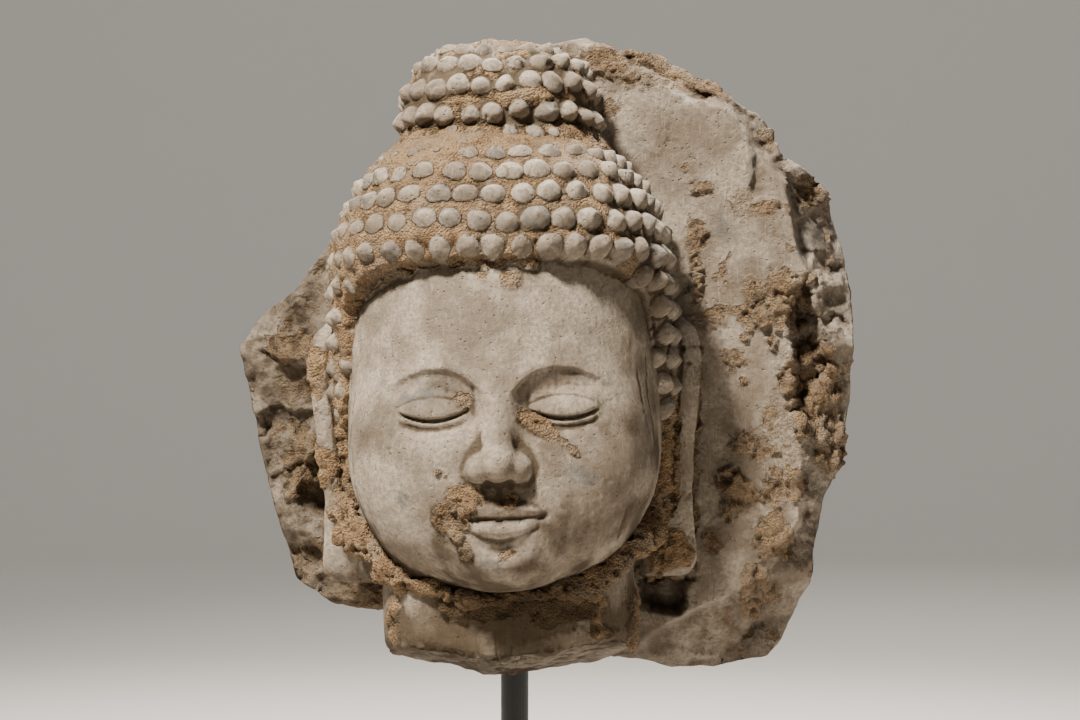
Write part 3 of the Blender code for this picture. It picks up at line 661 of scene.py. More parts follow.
def skin_earth_and_shade(grid, place, front, share, jaw, tongues):
    """Share of earth and painted shade on the skin: earth in its dips, painted shade under nose and jaw and
    on the neck's top, drips down the neck, and grime.

    The grid is the finished surface; place holds x, y and z before it was roughened. The grime is noise of
    30 mm and less, thicker low down, on the right (there painted shade on the side turned from the light),
    along the face's sides and beside the mouth.
    """
    x, y, z = place
    soil_and_shade = 0.8 * earth_and_dip_shade(grid, True, SKIN_INSIDE) * (1 - 0.45 * share * ease(z, 0, 6))
    # Painted shade with earth: darker on the crust under the jaw, and darker under the nose
    soil_and_shade = np.maximum(soil_and_shade, 0.75 * jaw) + 0.6 * bump(x, 0, 11) * bump(z, MOUTH + 12, 6) * front
    shade = ease(-z, -4, 9) * ease(-y, 30, 55) * bump(x, -4, 32)
    drawn = np.stack([x + 4 * rough(grid, 16, 78), y, 0.16 * z], -1)
    drips = shade * ease(rough(drawn, 9, 71, 4) + 0.25 * rough(grid, 6, 72), -0.3, 1.0)
    soil_and_shade = np.maximum(soil_and_shade, 0.95 * drips * (1 - ease(-z, 38, 50)))
    # Painted shade: the neck's top darker under the chin, less so to the right, and a band under the chin
    neck = ease(-z, 2, 16) * (1 - ease(-z, 34, 52)) * (1 - 0.7 * ease(x, 16, 40))
    soil_and_shade = soil_and_shade + 0.45 * neck * (1 - 0.8 * tongues) + 0.2 * bump(x, -4, 30) * ease(-z, 4, 14)
    grime_and_side_shade = ease(rough(grid, 30, 73, 5) + 0.3 * rough(drawn, 9, 74), -0.5, 1.2)
    # On the right of the face, turned from the light, the grime is painted shade
    grime_and_side_shade = grime_and_side_shade * (0.3 + 0.7 * ease(-z, -115, -60)) + 0.3 * ease(x, 34, 74) * front
    grime_and_side_shade = grime_and_side_shade + 0.35 * ease(np.abs(x), 52, 92) * ease(rough(grid, 20, 76, 4), -0.6, 0.8) * front
    beside = bump(np.hypot(np.abs(x) - 34, (z - MOUTH - 6) * 0.8), 0, 17) + bump(z, 4, 14) * (np.abs(x) < 60)
    grime_and_side_shade = grime_and_side_shade + 0.55 * beside * ease(rough(grid, 14, 77, 4), -0.7, 0.7) * front
    return soil_and_shade + 0.85 * grime_and_side_shade


def face_and_neck(material):
    """The skin: the traced field, worn and cracked by up to about 1 mm, with crust and earth.

    The last 7 mm above the neck's underside are broken.
    """
    grid = skin_points(*SKIN_GRID)
    out = normals(grid, True, SKIN_INSIDE)
    x, y, z = place = np.moveaxis(grid, -1, 0)
    front = ease(-y, 20, 45)
    turn = np.degrees(np.arctan2(x, -y))  # from the front, as in the hair
    share, thick, jaw, tongues = skin_crust(grid, turn, front)
    under = ease(neck_floor(x, y) + 7 - z, 0, 6)
    split = skin_cracks(grid, turn)
    worn = skin_wear(grid, front, under, split)
    grid = grid + out * (worn + 1.25 * crumbs(grid, share, thick, 61))[..., None]
    soil_and_shade = skin_earth_and_shade(grid, place, front, share, jaw, tongues) + 0.5 * split
    stain, _ = cover(grid, x, z, FACE_STAINS, 75, 1.1)
    marks = {"crust": share, "soil_and_shade": np.clip(soil_and_shade, 0, 1), "stain": stain * front, "broken": under}
    put_in("face_and_neck", to_world(grid), True, None, material, marks)


# The earth caked between jaw, neck and ear lobes: a string of lumps, (x, y, z, radius)
JAW_CRUST = (
    (-97, -15, 53, 4), (-94, -20, 43, 7), (-88, -28, 32, 8.5), (-79, -38, 21, 9), (-68, -48, 11, 7.5),
    (-54, -57, 4, 5.5), (-38, -63, -1, 4), (-22, -66, -5, 3.8), (-4, -67, -6, 3.8), (14, -67, -6, 4.2),
    (30, -65, -4, 5), (43, -61, 0, 6.5), (55, -56, 7, 8), (66, -48, 15, 9.5), (75, -38, 23, 9),
    (81, -29, 33, 7), (86, -23, 44, 4),
)


def jaw_crust(material):
    """The caked earth: a circle carried along the string of lumps, swollen and pitted by noise, with crumbs.

    The string is averaged and bent by about 2 mm of noise; the circle draws in over 9 mm at either end.
    """
    stations = np.array(JAW_CRUST, float)
    run = np.concatenate([[0], np.cumsum(np.linalg.norm(np.diff(stations[:, :3], axis=0), axis=1))])
    along = np.linspace(0, run[-1], 330)
    path = np.stack([np.interp(along, run, stations[:, k]) for k in range(3)], -1)
    for _ in range(3):
        path = average(path[:, None], 6, False)[:, 0]
    path = path + 2.2 * np.stack([rough(path, 26, 150 + k, 2) for k in range(3)], -1)
    from_end = np.minimum(along, run[-1] - along)
    radius = np.interp(along, run, stations[:, 3]) * np.sqrt(np.clip(from_end / 9, 0.02, 1))
    forward = np.gradient(path, axis=0)
    forward /= np.linalg.norm(forward, axis=1, keepdims=True)
    side = np.cross(forward, (0, 0, 1.0))
    side /= np.linalg.norm(side, axis=1, keepdims=True)
    up = np.cross(side, forward)
    around = np.linspace(0, 2 * np.pi, 110, endpoint=False)[None, :, None]
    way = side[:, None] * np.cos(around) + up[:, None] * np.sin(around)
    grid = path[:, None] + way * radius[:, None, None]
    swell = 0.45 * rough(grid, 15, 151, 3) - 0.1 - 0.35 * ease(rough(grid, 7, 157), 0.2, 0.9)
    grid = grid + way * (radius[:, None] * swell)[..., None]
    full = np.ones(grid.shape[:2])
    grid = grid + way * crumbs(grid, full, 1.9 * full, 153)[..., None]
    # Painted shade: the string's middle, under the chin, is darker
    soil_and_shade = 0.15 + 0.9 * earth_and_dip_shade(grid, True, path.mean(0), 0.5, 1.6) + 0.7 * bump(path[:, None, 0], 8, 40)
    marks = {"crust": full, "soil_and_shade": np.clip(soil_and_shade, 0, 1), "stain": 0 * full}
    put_in("jaw_crust", to_world(grid), True, None, material, marks)


def cap_crust(turn, rise, p, gap):
    """Level to which crust fills the hair: deep round the bun's foot, on the left and along the brow."""
    left = 1 - ease(turn, -35, 25)
    level = 0.9 + 0.4 * left + 2.4 * bump(rise, CAP_ROW_LOW + 0.5 * CAP_ROW_STEP, 3.0) * (0.15 + 0.85 * left)
    level = level + 1.2 * bump(rise, CAP_ROW_LOW + 1.5 * CAP_ROW_STEP, 3) * (0.1 + 0.9 * left)
    level = level + 1.1 * ease(rise, 30, 44)
    level = level + 3.2 * ease(rise, 46, 55) * (1 - 0.55 * ease(turn, -10, 40))
    level = level + 3.0 * ease(rise, 36, 47) * left * ease(-turn, -5, 25)
    level = level + 2.2 * (1 - ease(turn, -64, -42)) * bump(rise, 12, 16)
    level = level + 2.6 * bump(gap, 0, 3.5) * (1 - ease(turn, 4, 22))
    level = level + 1.5 * rough(p, 13, 81)
    return np.clip(level, 0, 6.5) * (1 - 0.9 * ease(turn, 40, 62))


def hair_rays(field, centre, radius, turn, rise):
    """The ways out at each turn and rise, and where they leave the field; those below level start lower."""
    fall = np.radians(np.clip(rise, None, 0))
    way = heading(turn, np.clip(rise, 0, None))
    start = np.array(centre) + np.stack([0 * fall, 0 * fall, fall * radius], -1)
    return way, trace(field, start, way)


def worn_curls(grid, closed, inside, share, beads, seed, uneven, chips):
    """The hair with crumbs in its crust, and its curls made uneven and chipped along their normals.

    Uneven is the height of noise of 5 mm and of 9 mm; chips are a noise's size, the level where it starts to
    count, and the depth.
    """
    size, level, deep = chips
    fine = crumbs(grid, share, 0 * share, seed)
    bumps = uneven[0] * rough(grid, 5, seed + 2, 3) + uneven[1] * noise(grid, 9, seed + 5)
    fine = fine + bumps * ease(beads, 0.6, 3)
    fine = fine - deep * ease(rough(grid, size, seed + 6) - level, 0, 0.3) * ease(beads, 1, 4)
    return grid + normals(grid, closed, inside) * fine[..., None]


def hair_marks(share, soil_and_shade, own, beads):
    """The marks of the hair's finish; each curl is as grey as its own number says."""
    stain = (0.3 + 0.5 * ease(own, 0.2, 1.4)) * (beads > 0.5)
    return {"crust": share, "soil_and_shade": np.clip(soil_and_shade, 0, 1), "stain": stain}


def hair_cap(material):
    """The hair: rays out to the cap, raised by curls or by the crust between them.

    At its edge it rounds over within 5 mm and then dives under the skin.
    """
    turns = np.linspace(-CAP_TURN, CAP_TURN, CAP_GRID[1])
    turn, rise = np.meshgrid(turns, np.linspace(*CAP_RISES, CAP_GRID[0]))
    way, ground = hair_rays(hair_field, CAP_CENTRE, CAP_RADII[0], turn, rise)
    spots = curl_spots(CAP_ROWS, CAP_ROW_LOW, CAP_ROW_STEP, CAP_RADII[0], in_cap)
    beads, own = curl_heights(turn, rise, CAP_RADII[0], spots, 0.25, 0.35, 21)
    gap = rim_gap(turn, rise, CAP_RADII[0] * math.pi / 180)
    level = cap_crust(turn, rise, ground, gap)
    share = ease(level - beads, -0.4, 0.5) * ease(level, 0.1, 0.9)
    held = gap + 3.5 * ease(beads, 0.3, 3)
    sunk = 6 * ease(-gap, -9, 1) + 12 * ease(-held, 0.2, 4.5)
    height = np.maximum(beads, level) * (1 - ease(-held, 0.5, 3.5)) - sunk
    inside = np.array(CAP_CENTRE)
    grid = ground + way * height[..., None]
    grid = worn_curls(grid, False, inside, share, beads, 83, (0.22, 0.25), (9, 0.8, 0.65))
    # Painted shade: the bare valleys between the curls are darkened
    shaded_valleys = (1 - ease(beads, 0, 2.0)) * (1 - share)
    soil_and_shade = earth_and_dip_shade(grid, False, inside) * (1 - 0.25 * ease(beads, 2, 5)) * (1 - 0.45 * share) + 0.25 * shaded_valleys
    # Painted shadow under the hair's edge where it dives under the skin, strongest on the right
    soil_and_shade = soil_and_shade + (0.25 + 0.55 * ease(turn, -10, 20)) * ease(-held, 0.2, 2.5)
    core = to_world(np.array((0, 0, 110.0)))
    put_in("hair_cap", to_world(grid), False, core, material, hair_marks(share, soil_and_shade, own, beads))


def hair_bun(material):
    """The bun: rings of rays from the crown to under its foot, with worn curls and crust between them."""
    turns = np.linspace(-180, 180, BUN_GRID[1], endpoint=False)
    turn, rise = np.meshgrid(turns, np.linspace(*BUN_RISES, BUN_GRID[0]))
    way, ground = hair_rays(bun_field, BUN_CENTRE, BUN_RADII[0], turn, rise)
    spots = curl_spots(BUN_ROWS, BUN_ROW_LOW, BUN_ROW_STEP, BUN_RADII[0], in_bun)
    beads, own = curl_heights(turn, rise, BUN_RADII[0], spots, 0.75, 1.2, 22)
    foot = ease(-rise, 5, 11)
    level = 0.7 + 2.8 * bump(rise, 9, 6) * bump(turn, 16, 22) + 1.2 * ease(rise, 35, 70)
    level = level + 1.6 * rough(ground, 13, 91)
    level = np.clip(level + 3.4 * foot, 0, 6) + 13 * ease(-rise, 9, 26)
    share = ease(level - beads, -0.4, 0.5) * ease(level, 0.5, 1.5)
    inside = np.array(BUN_CENTRE)
    grid = ground + way * np.maximum(beads, level)[..., None]
    grid = worn_curls(grid, True, inside, share, beads, 93, (0.3, 0.9), (10, 0.6, 1.2))
    # Earth with painted shade in dips, and painted shade in the bare valleys between the curls
    soil_and_shade = earth_and_dip_shade(grid, True, inside) + 0.3 * (1 - ease(beads, 0, 2.0)) * (1 - share)
    put_in("hair_bun", to_world(grid), True, None, material, hair_marks(share, soil_and_shade, own, beads))


# Crust on the ears, by side: height share, how far across, half height, half width, thickness
EAR_CRUST = {
    -1: (
        (0.60, -1.35, 0.26, 0.2, 2.0), (0.30, -1.3, 0.2, 0.3, 1.4), (0.62, 0.1, 0.24, 0.6, 1.6),
        (0.8, -0.9, 0.12, 0.3, 1.2), (0.45, -0.4, 0.12, 1.0, 1.5),
    ),
    1: (
        (0.55, 1.1, 0.4, 0.45, 1.8), (0.40, -1.5, 0.5, 0.45, 1.4), (0.12, -1.3, 0.10, 0.5, 1.4),
        (0.30, 0.1, 0.2, 0.3, 1.2), (0.66, 0.1, 0.14, 0.5, 1.4),
    ),
}


def ear(side, name, material):
    """One ear: rows up it, each out across its face and back into the head at both ends.

    Rim, bowl and slit lobe are bell curves of height on the face. The front edge has the fold of the rim as a
    groove; the lobe is round below and swells forwards.
    """
    rows, columns = EAR_GRID
    share = np.linspace(0, 1, rows)[:, None] ** 0.9
    across = np.linspace(-1.7, 1.7, columns)[None]
    table = np.array(EAR_PROFILE)
    middle, wide, out = (average(np.interp(share, table[:, 0], table[:, k]), 7, False) for k in (1, 2, 3))
    over = np.clip(np.abs(across) - 1, 0, None) / 0.7
    a = np.clip(across, -1, 1)
    upper = ease(share, 0.40, 0.52) * (1 - ease(share, 0.9, 0.99))
    relief = 2.5 * bump(np.abs(a), 0.82, 0.16) * ease(share, 0.30, 0.42)
    relief = relief - 6.0 * upper * bump(a, 0.05, 0.42)
    relief = relief - 4.0 * bump(a, 0, 0.25) * ease(share, 0.03, 0.1) * (1 - ease(share, 0.36, 0.42))
    inner = bump(a, 0.12 + 0.3 * (share - 0.7), 0.12)
    relief = relief + 2.2 * inner * ease(share, 0.5, 0.6) * (1 - ease(share, 0.8, 0.9))
    rounding = 1 - np.sqrt(np.clip(1 - (1 - np.clip(share / 0.07, 0, 1)) ** 2, 0, 1))
    x = out - 4.0 * np.abs(a) ** 6 + relief - (EAR_DEEP - 4) * over - 7 * rounding
    fold = -2.2 * bump(over, 0.34, 0.10) * ease(share, 0.22, 0.3)
    fold = fold + 2.4 * bump(over, 0.3, 0.3) * bump(share, 0.13, 0.09)
    forwards = np.where(across < 0, fold, 0)
    y = middle + a * wide / 2 * (1 - 0.5 * rounding) + np.sign(across) * 3 * over - forwards
    z = EAR_END + (EAR_TOP - EAR_END) * share + 0 * x
    grid = np.stack([side * x, y + 0 * x, z], -1)
    inside = np.array((side * 80.0, 8, 70))
    cut = np.zeros(x.shape)
    thick = np.zeros(x.shape)
    wander = 0.4 * rough(grid, 12, 101, 4)
    for at, place, half_high, half_wide, deep in EAR_CRUST[side]:
        part = ease(1 - np.hypot((share - at) / half_high, (across - place) / half_wide) + wander, 0, 0.25)
        cut, thick = np.maximum(cut, part), np.maximum(thick, part * deep)
    height = 0.3 * rough(grid, 9, 103) - 1.2 * ease(rough(grid, 12, 104) - 0.8, 0, 0.3)
    height = height + crumbs(grid, cut, thick, 105)
    grid = grid + normals(grid, False, inside) * height[..., None]
    soil_and_shade = np.clip(earth_and_dip_shade(grid, False, inside) + 0.3 * ease(rough(grid, 16, 109, 4), -0.2, 0.9), 0, 1)
    cut = np.maximum(cut, 0.45 * ease(rough(grid, 14, 110, 4), 0, 0.9))
    marks = {"crust": cut, "soil_and_shade": soil_and_shade, "stain": 0.4 * ease(rough(grid, 20, 107), 0, 1)}
    put_in(name, to_world(grid), False, to_world(inside), material, marks)


def slab_reach(way):
    """How far out the broken edge lies along a way in radians: between points taken on its straight runs."""
    corner = np.array(SLAB_EDGE, float) - SLAB_CENTRE
    along = np.linspace(0, 1, 12, endpoint=False)[None, :, None]
    points = (corner[:, None] * (1 - along) + np.roll(corner, -1, 0)[:, None] * along).reshape(-1, 2)
    angle = np.arctan2(points[:, 1], points[:, 0])
    order = np.argsort(angle)
    return np.interp(way, angle[order], np.hypot(*points[order].T), period=2 * np.pi)


def broken(x, z, breaks):
    """How deep the facets round a face of the slab are broken off: the deepest of its sloping planes."""
    deep = np.zeros(x.shape)
    for way, distance, steep in breaks:
        right, up = math.cos(math.radians(way)), math.sin(math.radians(way))
        out = (x - SLAB_CENTRE[0]) * right + (z - SLAB_CENTRE[1]) * up
        deep = np.maximum(deep, steep * (out - distance))
    return deep


# Crust on the slab's front, set round the head: x, z, half width, half height, tilt, thickness
SLAB_CRUST = (
    (57, 447, 7, 9, 0, 2.0), (72, 471, 46, 12, -14, 2.6), (109, 399, 10, 6, -10, 2.0),
    (105, 364, 7, 25, 0, 2.8), (103, 250, 5, 66, 0, 2.2), (154, 334, 22, 23, 0, 2.8),
    (174, 288, 19, 36, 4, 3.2), (184, 246, 12, 17, 0, 3.4), (128, 301, 8, 7, 0, 2.0),
    (139, 250, 15, 9, -10, 2.8), (127, 223, 13, 13, 20, 3.0), (158, 228, 16, 13, 0, 3.0),
    (149, 194, 15, 15, 0, 3.2), (140, 166, 11, 19, -8, 3.2), (115, 193, 6, 8, 0, 2.2),
    (146, 389, 8, 6, 0, 2.0), (173, 399, 12, 10, 0, 3.0), (150, 428, 9, 7, -40, 2.2),
    (128, 461, 18, 8, -35, 2.2), (-128, 310, 22, 14, -10, 1.1), (-125, 240, 22, 22, 0, 1.3),
    (-116, 186, 12, 9, 0, 1.0), (-108, 250, 6, 36, 0, 1.8), (-90, 160, 16, 8, 0, 1.2),
    (82, 176, 16, 7, 0, 2.2),
)
SLAB_STAINS = (  # as the crust's patches
    (138, 414, 5, 15, 0, 1), (176, 372, 13, 14, 0, 0.9), (-142, 268, 14, 16, 0, 0.8),
    (120, 388, 10, 30, 0, 0.4), (150, 140, 30, 16, 0, 0.6),
)


def slab_rings():
    """The slab's rings: the columns' ways round, the points' x and z, and their depth, 0 in front, 1 behind.

    Rows go out over the front, across the rim and in over the back. Columns are closer together on the right
    and on the left, where the slab shows, and noise makes the edge ragged.
    """
    even = np.linspace(-np.pi, np.pi, 2000)
    right, left = np.abs(even - 0.25) < 1.35, np.abs(np.abs(even) - 2.95) < 0.5
    weight = slab_reach(even) * (1 + 0.5 * right + 0.3 * left)
    total = np.concatenate([[0], np.cumsum(weight)[:-1]]) / weight.sum()
    way = np.interp(np.linspace(0, 1, SLAB_COLUMNS, endpoint=False), total, even)
    reach = slab_reach(way)
    hidden = np.linspace(0.28, 0.5, SLAB_HIDDEN_ROWS, endpoint=False)
    out = np.concatenate([hidden, np.linspace(0.5, 1, SLAB_FRONT_ROWS)])
    rim = np.linspace(0, 1, SLAB_RIM_ROWS + 2)[1:-1]
    back = np.linspace(1, 0.05, SLAB_BACK_ROWS)
    share = np.concatenate([out, 1 + 0 * rim, back])[:, None]
    depth = np.concatenate([0 * out, rim, 1 + 0 * back])[:, None]
    ragged = np.stack([reach * np.cos(way), 0 * way, reach * np.sin(way)], -1)
    ragged = 1 - 0.006 * (1 + rough(ragged, 18, 111, 4))
    x = SLAB_CENTRE[0] + share * reach * ragged * np.cos(way)
    z = SLAB_CENTRE[1] + share * reach * ragged * np.sin(way)
    return way, x, z, depth


def ledged(deep, x, z):
    """A depth with the ledges added: each drops away at once below its line, and comes back as it fades."""
    for start_x, start_z, end_x, end_z, drop, far in LEDGES:
        run = math.hypot(end_x - start_x, end_z - start_z)
        along = ((x - start_x) * (end_x - start_x) + (z - start_z) * (end_z - start_z)) / run
        below = ((x - start_x) * (end_z - start_z) - (z - start_z) * (end_x - start_x)) / run
        held = ease(along, -6, 4) * (1 - ease(along, run - 4, run + 6))
        deep = deep + drop * held * ease(below, -0.6, 1.0) * (1 - ease(below, 1.0, far))
    return deep


def slab_front(flat, x, z):
    """How deep the front lies under its plane, and how rugged it is there, 0 to 1.

    The depth is the greatest of the facets round the edge, the oval hollows and the nook. Hewn facets and
    ledges are added where it is rugged, broad waves and thin flakes all over. Noise bends their outlines.
    """
    front = broken(x + 4 * rough(flat, 34, 197), z + 4 * rough(flat, 34, 198), FRONT_BREAKS)
    rugged = ease(front, 0.2, 5)
    front = front * (1 - ease(-z, -205, -180) * (1 - ease(front, -1, 7)))
    warp_x, warp_z = x + 5 * rough(flat, 22, 161, 4), z + 6 * rough(flat, 22, 165, 4)
    for pit_x, pit_z, half_x, half_z, deep in HOLLOWS:
        q = ((warp_x - pit_x) / half_x) ** 2 + ((warp_z - pit_z) / half_z) ** 2
        pit = (deep + 6) * np.sqrt(np.clip(1 - q, 0, 1)) * (0.8 + 0.25 * noise(flat, 14, 169)) - 6
        front = np.maximum(front, pit)
        rugged = np.maximum(rugged, ease(pit, 0, 6))
    nook, _ = cover(flat, x, z, NOOK, 193, 0.4)
    front = np.maximum(front, 12 * nook)
    rugged = np.maximum(rugged, 0.7 * nook)
    step = ease(warp_x, 137, 139.5) * ease(z, 393, 398) * (1 - ease(z, 424, 436))
    step = step * (1 - ease(warp_x, 141, 150))
    flakes = 0.7 * ease(rough(flat, 46, 171, 4), 0.15, 0.2) + 0.4 * ease(rough(flat, 30, 175, 4), 0.3, 0.34)
    cracked = sum(tall * (0.4 - hewn(x, z, size, seed)) for tall, size, seed in HEWN)
    cracked = ledged(cracked, warp_x, warp_z)
    front = front + rugged * (cracked + 0.5 * rough(flat, 9, 115))
    return front + 1.2 * rough(flat, 44, 113, 4) + flakes + 3.5 * step, rugged


def slab_back(flat, x, z):
    """How deep the back lies under its plane: the facets round the edge, with hewn chips of 50 and 19 mm."""
    behind = broken(x, z, BACK_BREAKS)
    chipped = 7.5 - 11 * hewn(x, z, 50, 191) - 4 * hewn(x, z, 19, 195) + 0.5 * rough(flat, 12, 117)
    return behind + np.clip(chipped, -2, 4.5) * (1 + 0.4 * ease(behind, 0.5, 8))


def slab_marks(grid, x, z, ahead, crust):
    """The marks of the slab's finish but its breaks: crust with a thin film about it, earth with painted
    shade in its dips, darker on the left, and stains.

    The film fades out over patches wider than the crust's, and dust joins it: noise of up to 26 mm, more of
    it on the left. Ahead says which points are on the front, where alone the film lies.
    """
    stain, _ = cover(grid, x, z, SLAB_STAINS, 141, 1.0)
    soil_and_shade = earth_and_dip_shade(grid, True, SLAB_INSIDE, 0.4, 3.2) * (0.25 + 0.5 * crust)
    # Darker on the left past x -84, and a little lighter past x 140
    soil_and_shade = np.clip(soil_and_shade + 0.26 - 0.1 * ease(x, 140, 170) + 0.24 * ease(-x, 84, 100), 0, 1)
    soil_and_shade = np.maximum(soil_and_shade, 0.35 * ease(rough(grid, 34, 145, 5), -0.1, 1.3))
    wider = [(*patch[:2], 1.4 * patch[2] + 2, 1.4 * patch[3] + 2, *patch[4:]) for patch in SLAB_CRUST]
    film, _ = cover(grid, x, z, wider, 127, 1.3)
    left = ease(-x, 80, 110)
    dust = ease(rough(grid, 26, 147, 4) - 0.1 + 0.5 * left, 0, 1.0 + 0.5 * left)
    film = np.maximum(0.6 * film, (0.45 + 0.2 * left) * dust)
    return {"crust": np.maximum(0.62 * crust, film * ahead), "soil_and_shade": soil_and_shade, "stain": stain}


def slab(material):
    """The slab in rings, from the depth of its front to that of its back.

    The rim is hewn in facets of 24 mm; crust lies on the front, and small pits all over.
    """
    way, x, z, depth = slab_rings()
    flat = np.stack([x, 0 * x, z], -1)
    front, rugged = slab_front(flat, x, z)
    y_front = SLAB_FRONT + np.clip(front, 0, SLAB_DEEPEST)
    y_back = SLAB_BACK - np.clip(slab_back(flat, x, z), 0, None)
    y = y_front + depth * (np.maximum(y_back, y_front + SLAB_THINNEST) - y_front)
    grid = np.stack([x, y, z], -1)
    side = ease(depth, 0, 0.02) * (1 - ease(depth, 0.98, 1))
    ahead = depth < 0.35
    crust, thick = cover(grid, x, z, SLAB_CRUST, 121)
    bits = ease(rough(grid, 12, 149, 4) - 0.85 + 0.3 * ease(x, 60, 150), 0, 0.25)
    crust, thick = np.maximum(crust, bits) * ahead, np.maximum(0.8 * thick, bits) * ahead
    rim_breaks = 5 * hewn(way * 170 + 0 * y, y, 24, 133) - 4.5 + 1.1 * rough(grid, 12, 131, 3)
    height = crumbs(grid, crust, thick * (1 - 0.8 * side), 125) + side * np.clip(rim_breaks, None, 0)
    height = height + 0.22 * rough(grid, 7, 135, 3) - 0.8 * ease(rough(grid, 8, 139, 3) - 0.9, 0, 0.4)
    grid = grid + normals(grid, True, SLAB_INSIDE) * height[..., None]
    grid[..., 0] = np.clip(grid[..., 0], cad_box[0].x * 1000, cad_box[1].x * 1000)
    marks = slab_marks(grid, x, z, ahead, crust)
    marks["broken"] = np.clip(rugged + side + (depth > 0.9), 0, 1)
    put_in("slab", grid, True, None, material, marks)


def linear(colour):
    """The linear colour of an sRGB hex value."""
    parts = [int(colour[k:k + 2], 16) / 255 for k in (1, 3, 5)]
    return (*[c / 12.92 if c <= 0.04045 else ((c + 0.055) / 1.055) ** 2.4 for c in parts], 1)


def per_metre(size):
    """A texture's scale for a pattern size in millimetres."""
    return 1000 / size


def fill_in(tree, sockets, inputs):
    """Give each named socket its value, an sRGB hex colour or a link from another node's output."""
    for name, value in inputs.items():
        if isinstance(value, bpy.types.NodeSocket):
            tree.links.new(value, sockets[name])
        else:
            sockets[name].default_value = linear(value) if isinstance(value, str) else value


def node(tree, kind, inputs, **settings):
    """Add a node with its settings and inputs, and return its outputs."""
    made = tree.nodes.new("ShaderNode" + kind)
    for name, value in settings.items():
        setattr(made, name, value)
    fill_in(tree, made.inputs, inputs)
    return made.outputs


def new_material(name):
    """An empty material, its node tree and the sockets of its shader."""
    material = bpy.data.materials.new(name)
    material.use_nodes = True
    return material, material.node_tree, material.node_tree.nodes["Principled BSDF"].inputs


def coats(tree, colour, layers):
    """A colour with others laid over it in turn, each by a share that eases from 0 up to its most.

    A layer is its pattern, the values at which it starts and is full, the most, and the colour on top.
    """
    for pattern, start, full, most, over in layers:
        share = node(tree, "MapRange", {0: pattern, 1: start, 2: full, 4: most}, **SMOOTH)[0]
        colour = node(tree, "Mix", {0: share, 6: colour, 7: over}, data_type="RGBA")[2]
    return colour


def facets(tree, where, size, force):
    """A broken face's height and tone: in each Voronoi cell the height falls off evenly, each its own way.

    The height is the dot product of the way from the cell's middle and the cell's random colour less a half.
    """
    cell = node(tree, "TexVoronoi", {"Vector": where, "Scale": per_metre(size)})
    away = node(tree, "VectorMath", {0: where, 1: cell["Position"]}, operation="SUBTRACT")[0]
    tilt = node(tree, "VectorMath", {0: cell["Color"], 1: (0.5, 0.5, 0.5)}, operation="SUBTRACT")[0]
    fall = node(tree, "VectorMath", {0: away, 1: tilt}, operation="DOT_PRODUCT")["Value"]
    height = node(tree, "Math", {0: fall, 1: force}, operation="MULTIPLY")[0]
    return height, node(tree, "SeparateColor", {0: cell["Color"]})[1]


SMOOTH = {"interpolation_type": "SMOOTHSTEP"}
STONE_CLOUDS = (  # the stone's noise patterns: name, size in mm, detail, roughness
    ("mottle", 30, 6, 0.6), ("grain", 2.6, 5, 0.65), ("cracked", 28, 3, 0.55), ("smoke", 6, 5, 0.7),
    ("lumps", 9, 5, 0.6), ("pockets", 1.9, 4, 0.6), ("dust", 21, 5, 0.6), ("ragged", 2.5, 5, 0.65),
    ("smooth", 4, 8, 0.8), ("gritty", 3, 8, 0.9), ("rocky", 5, 8, 0.66),
)


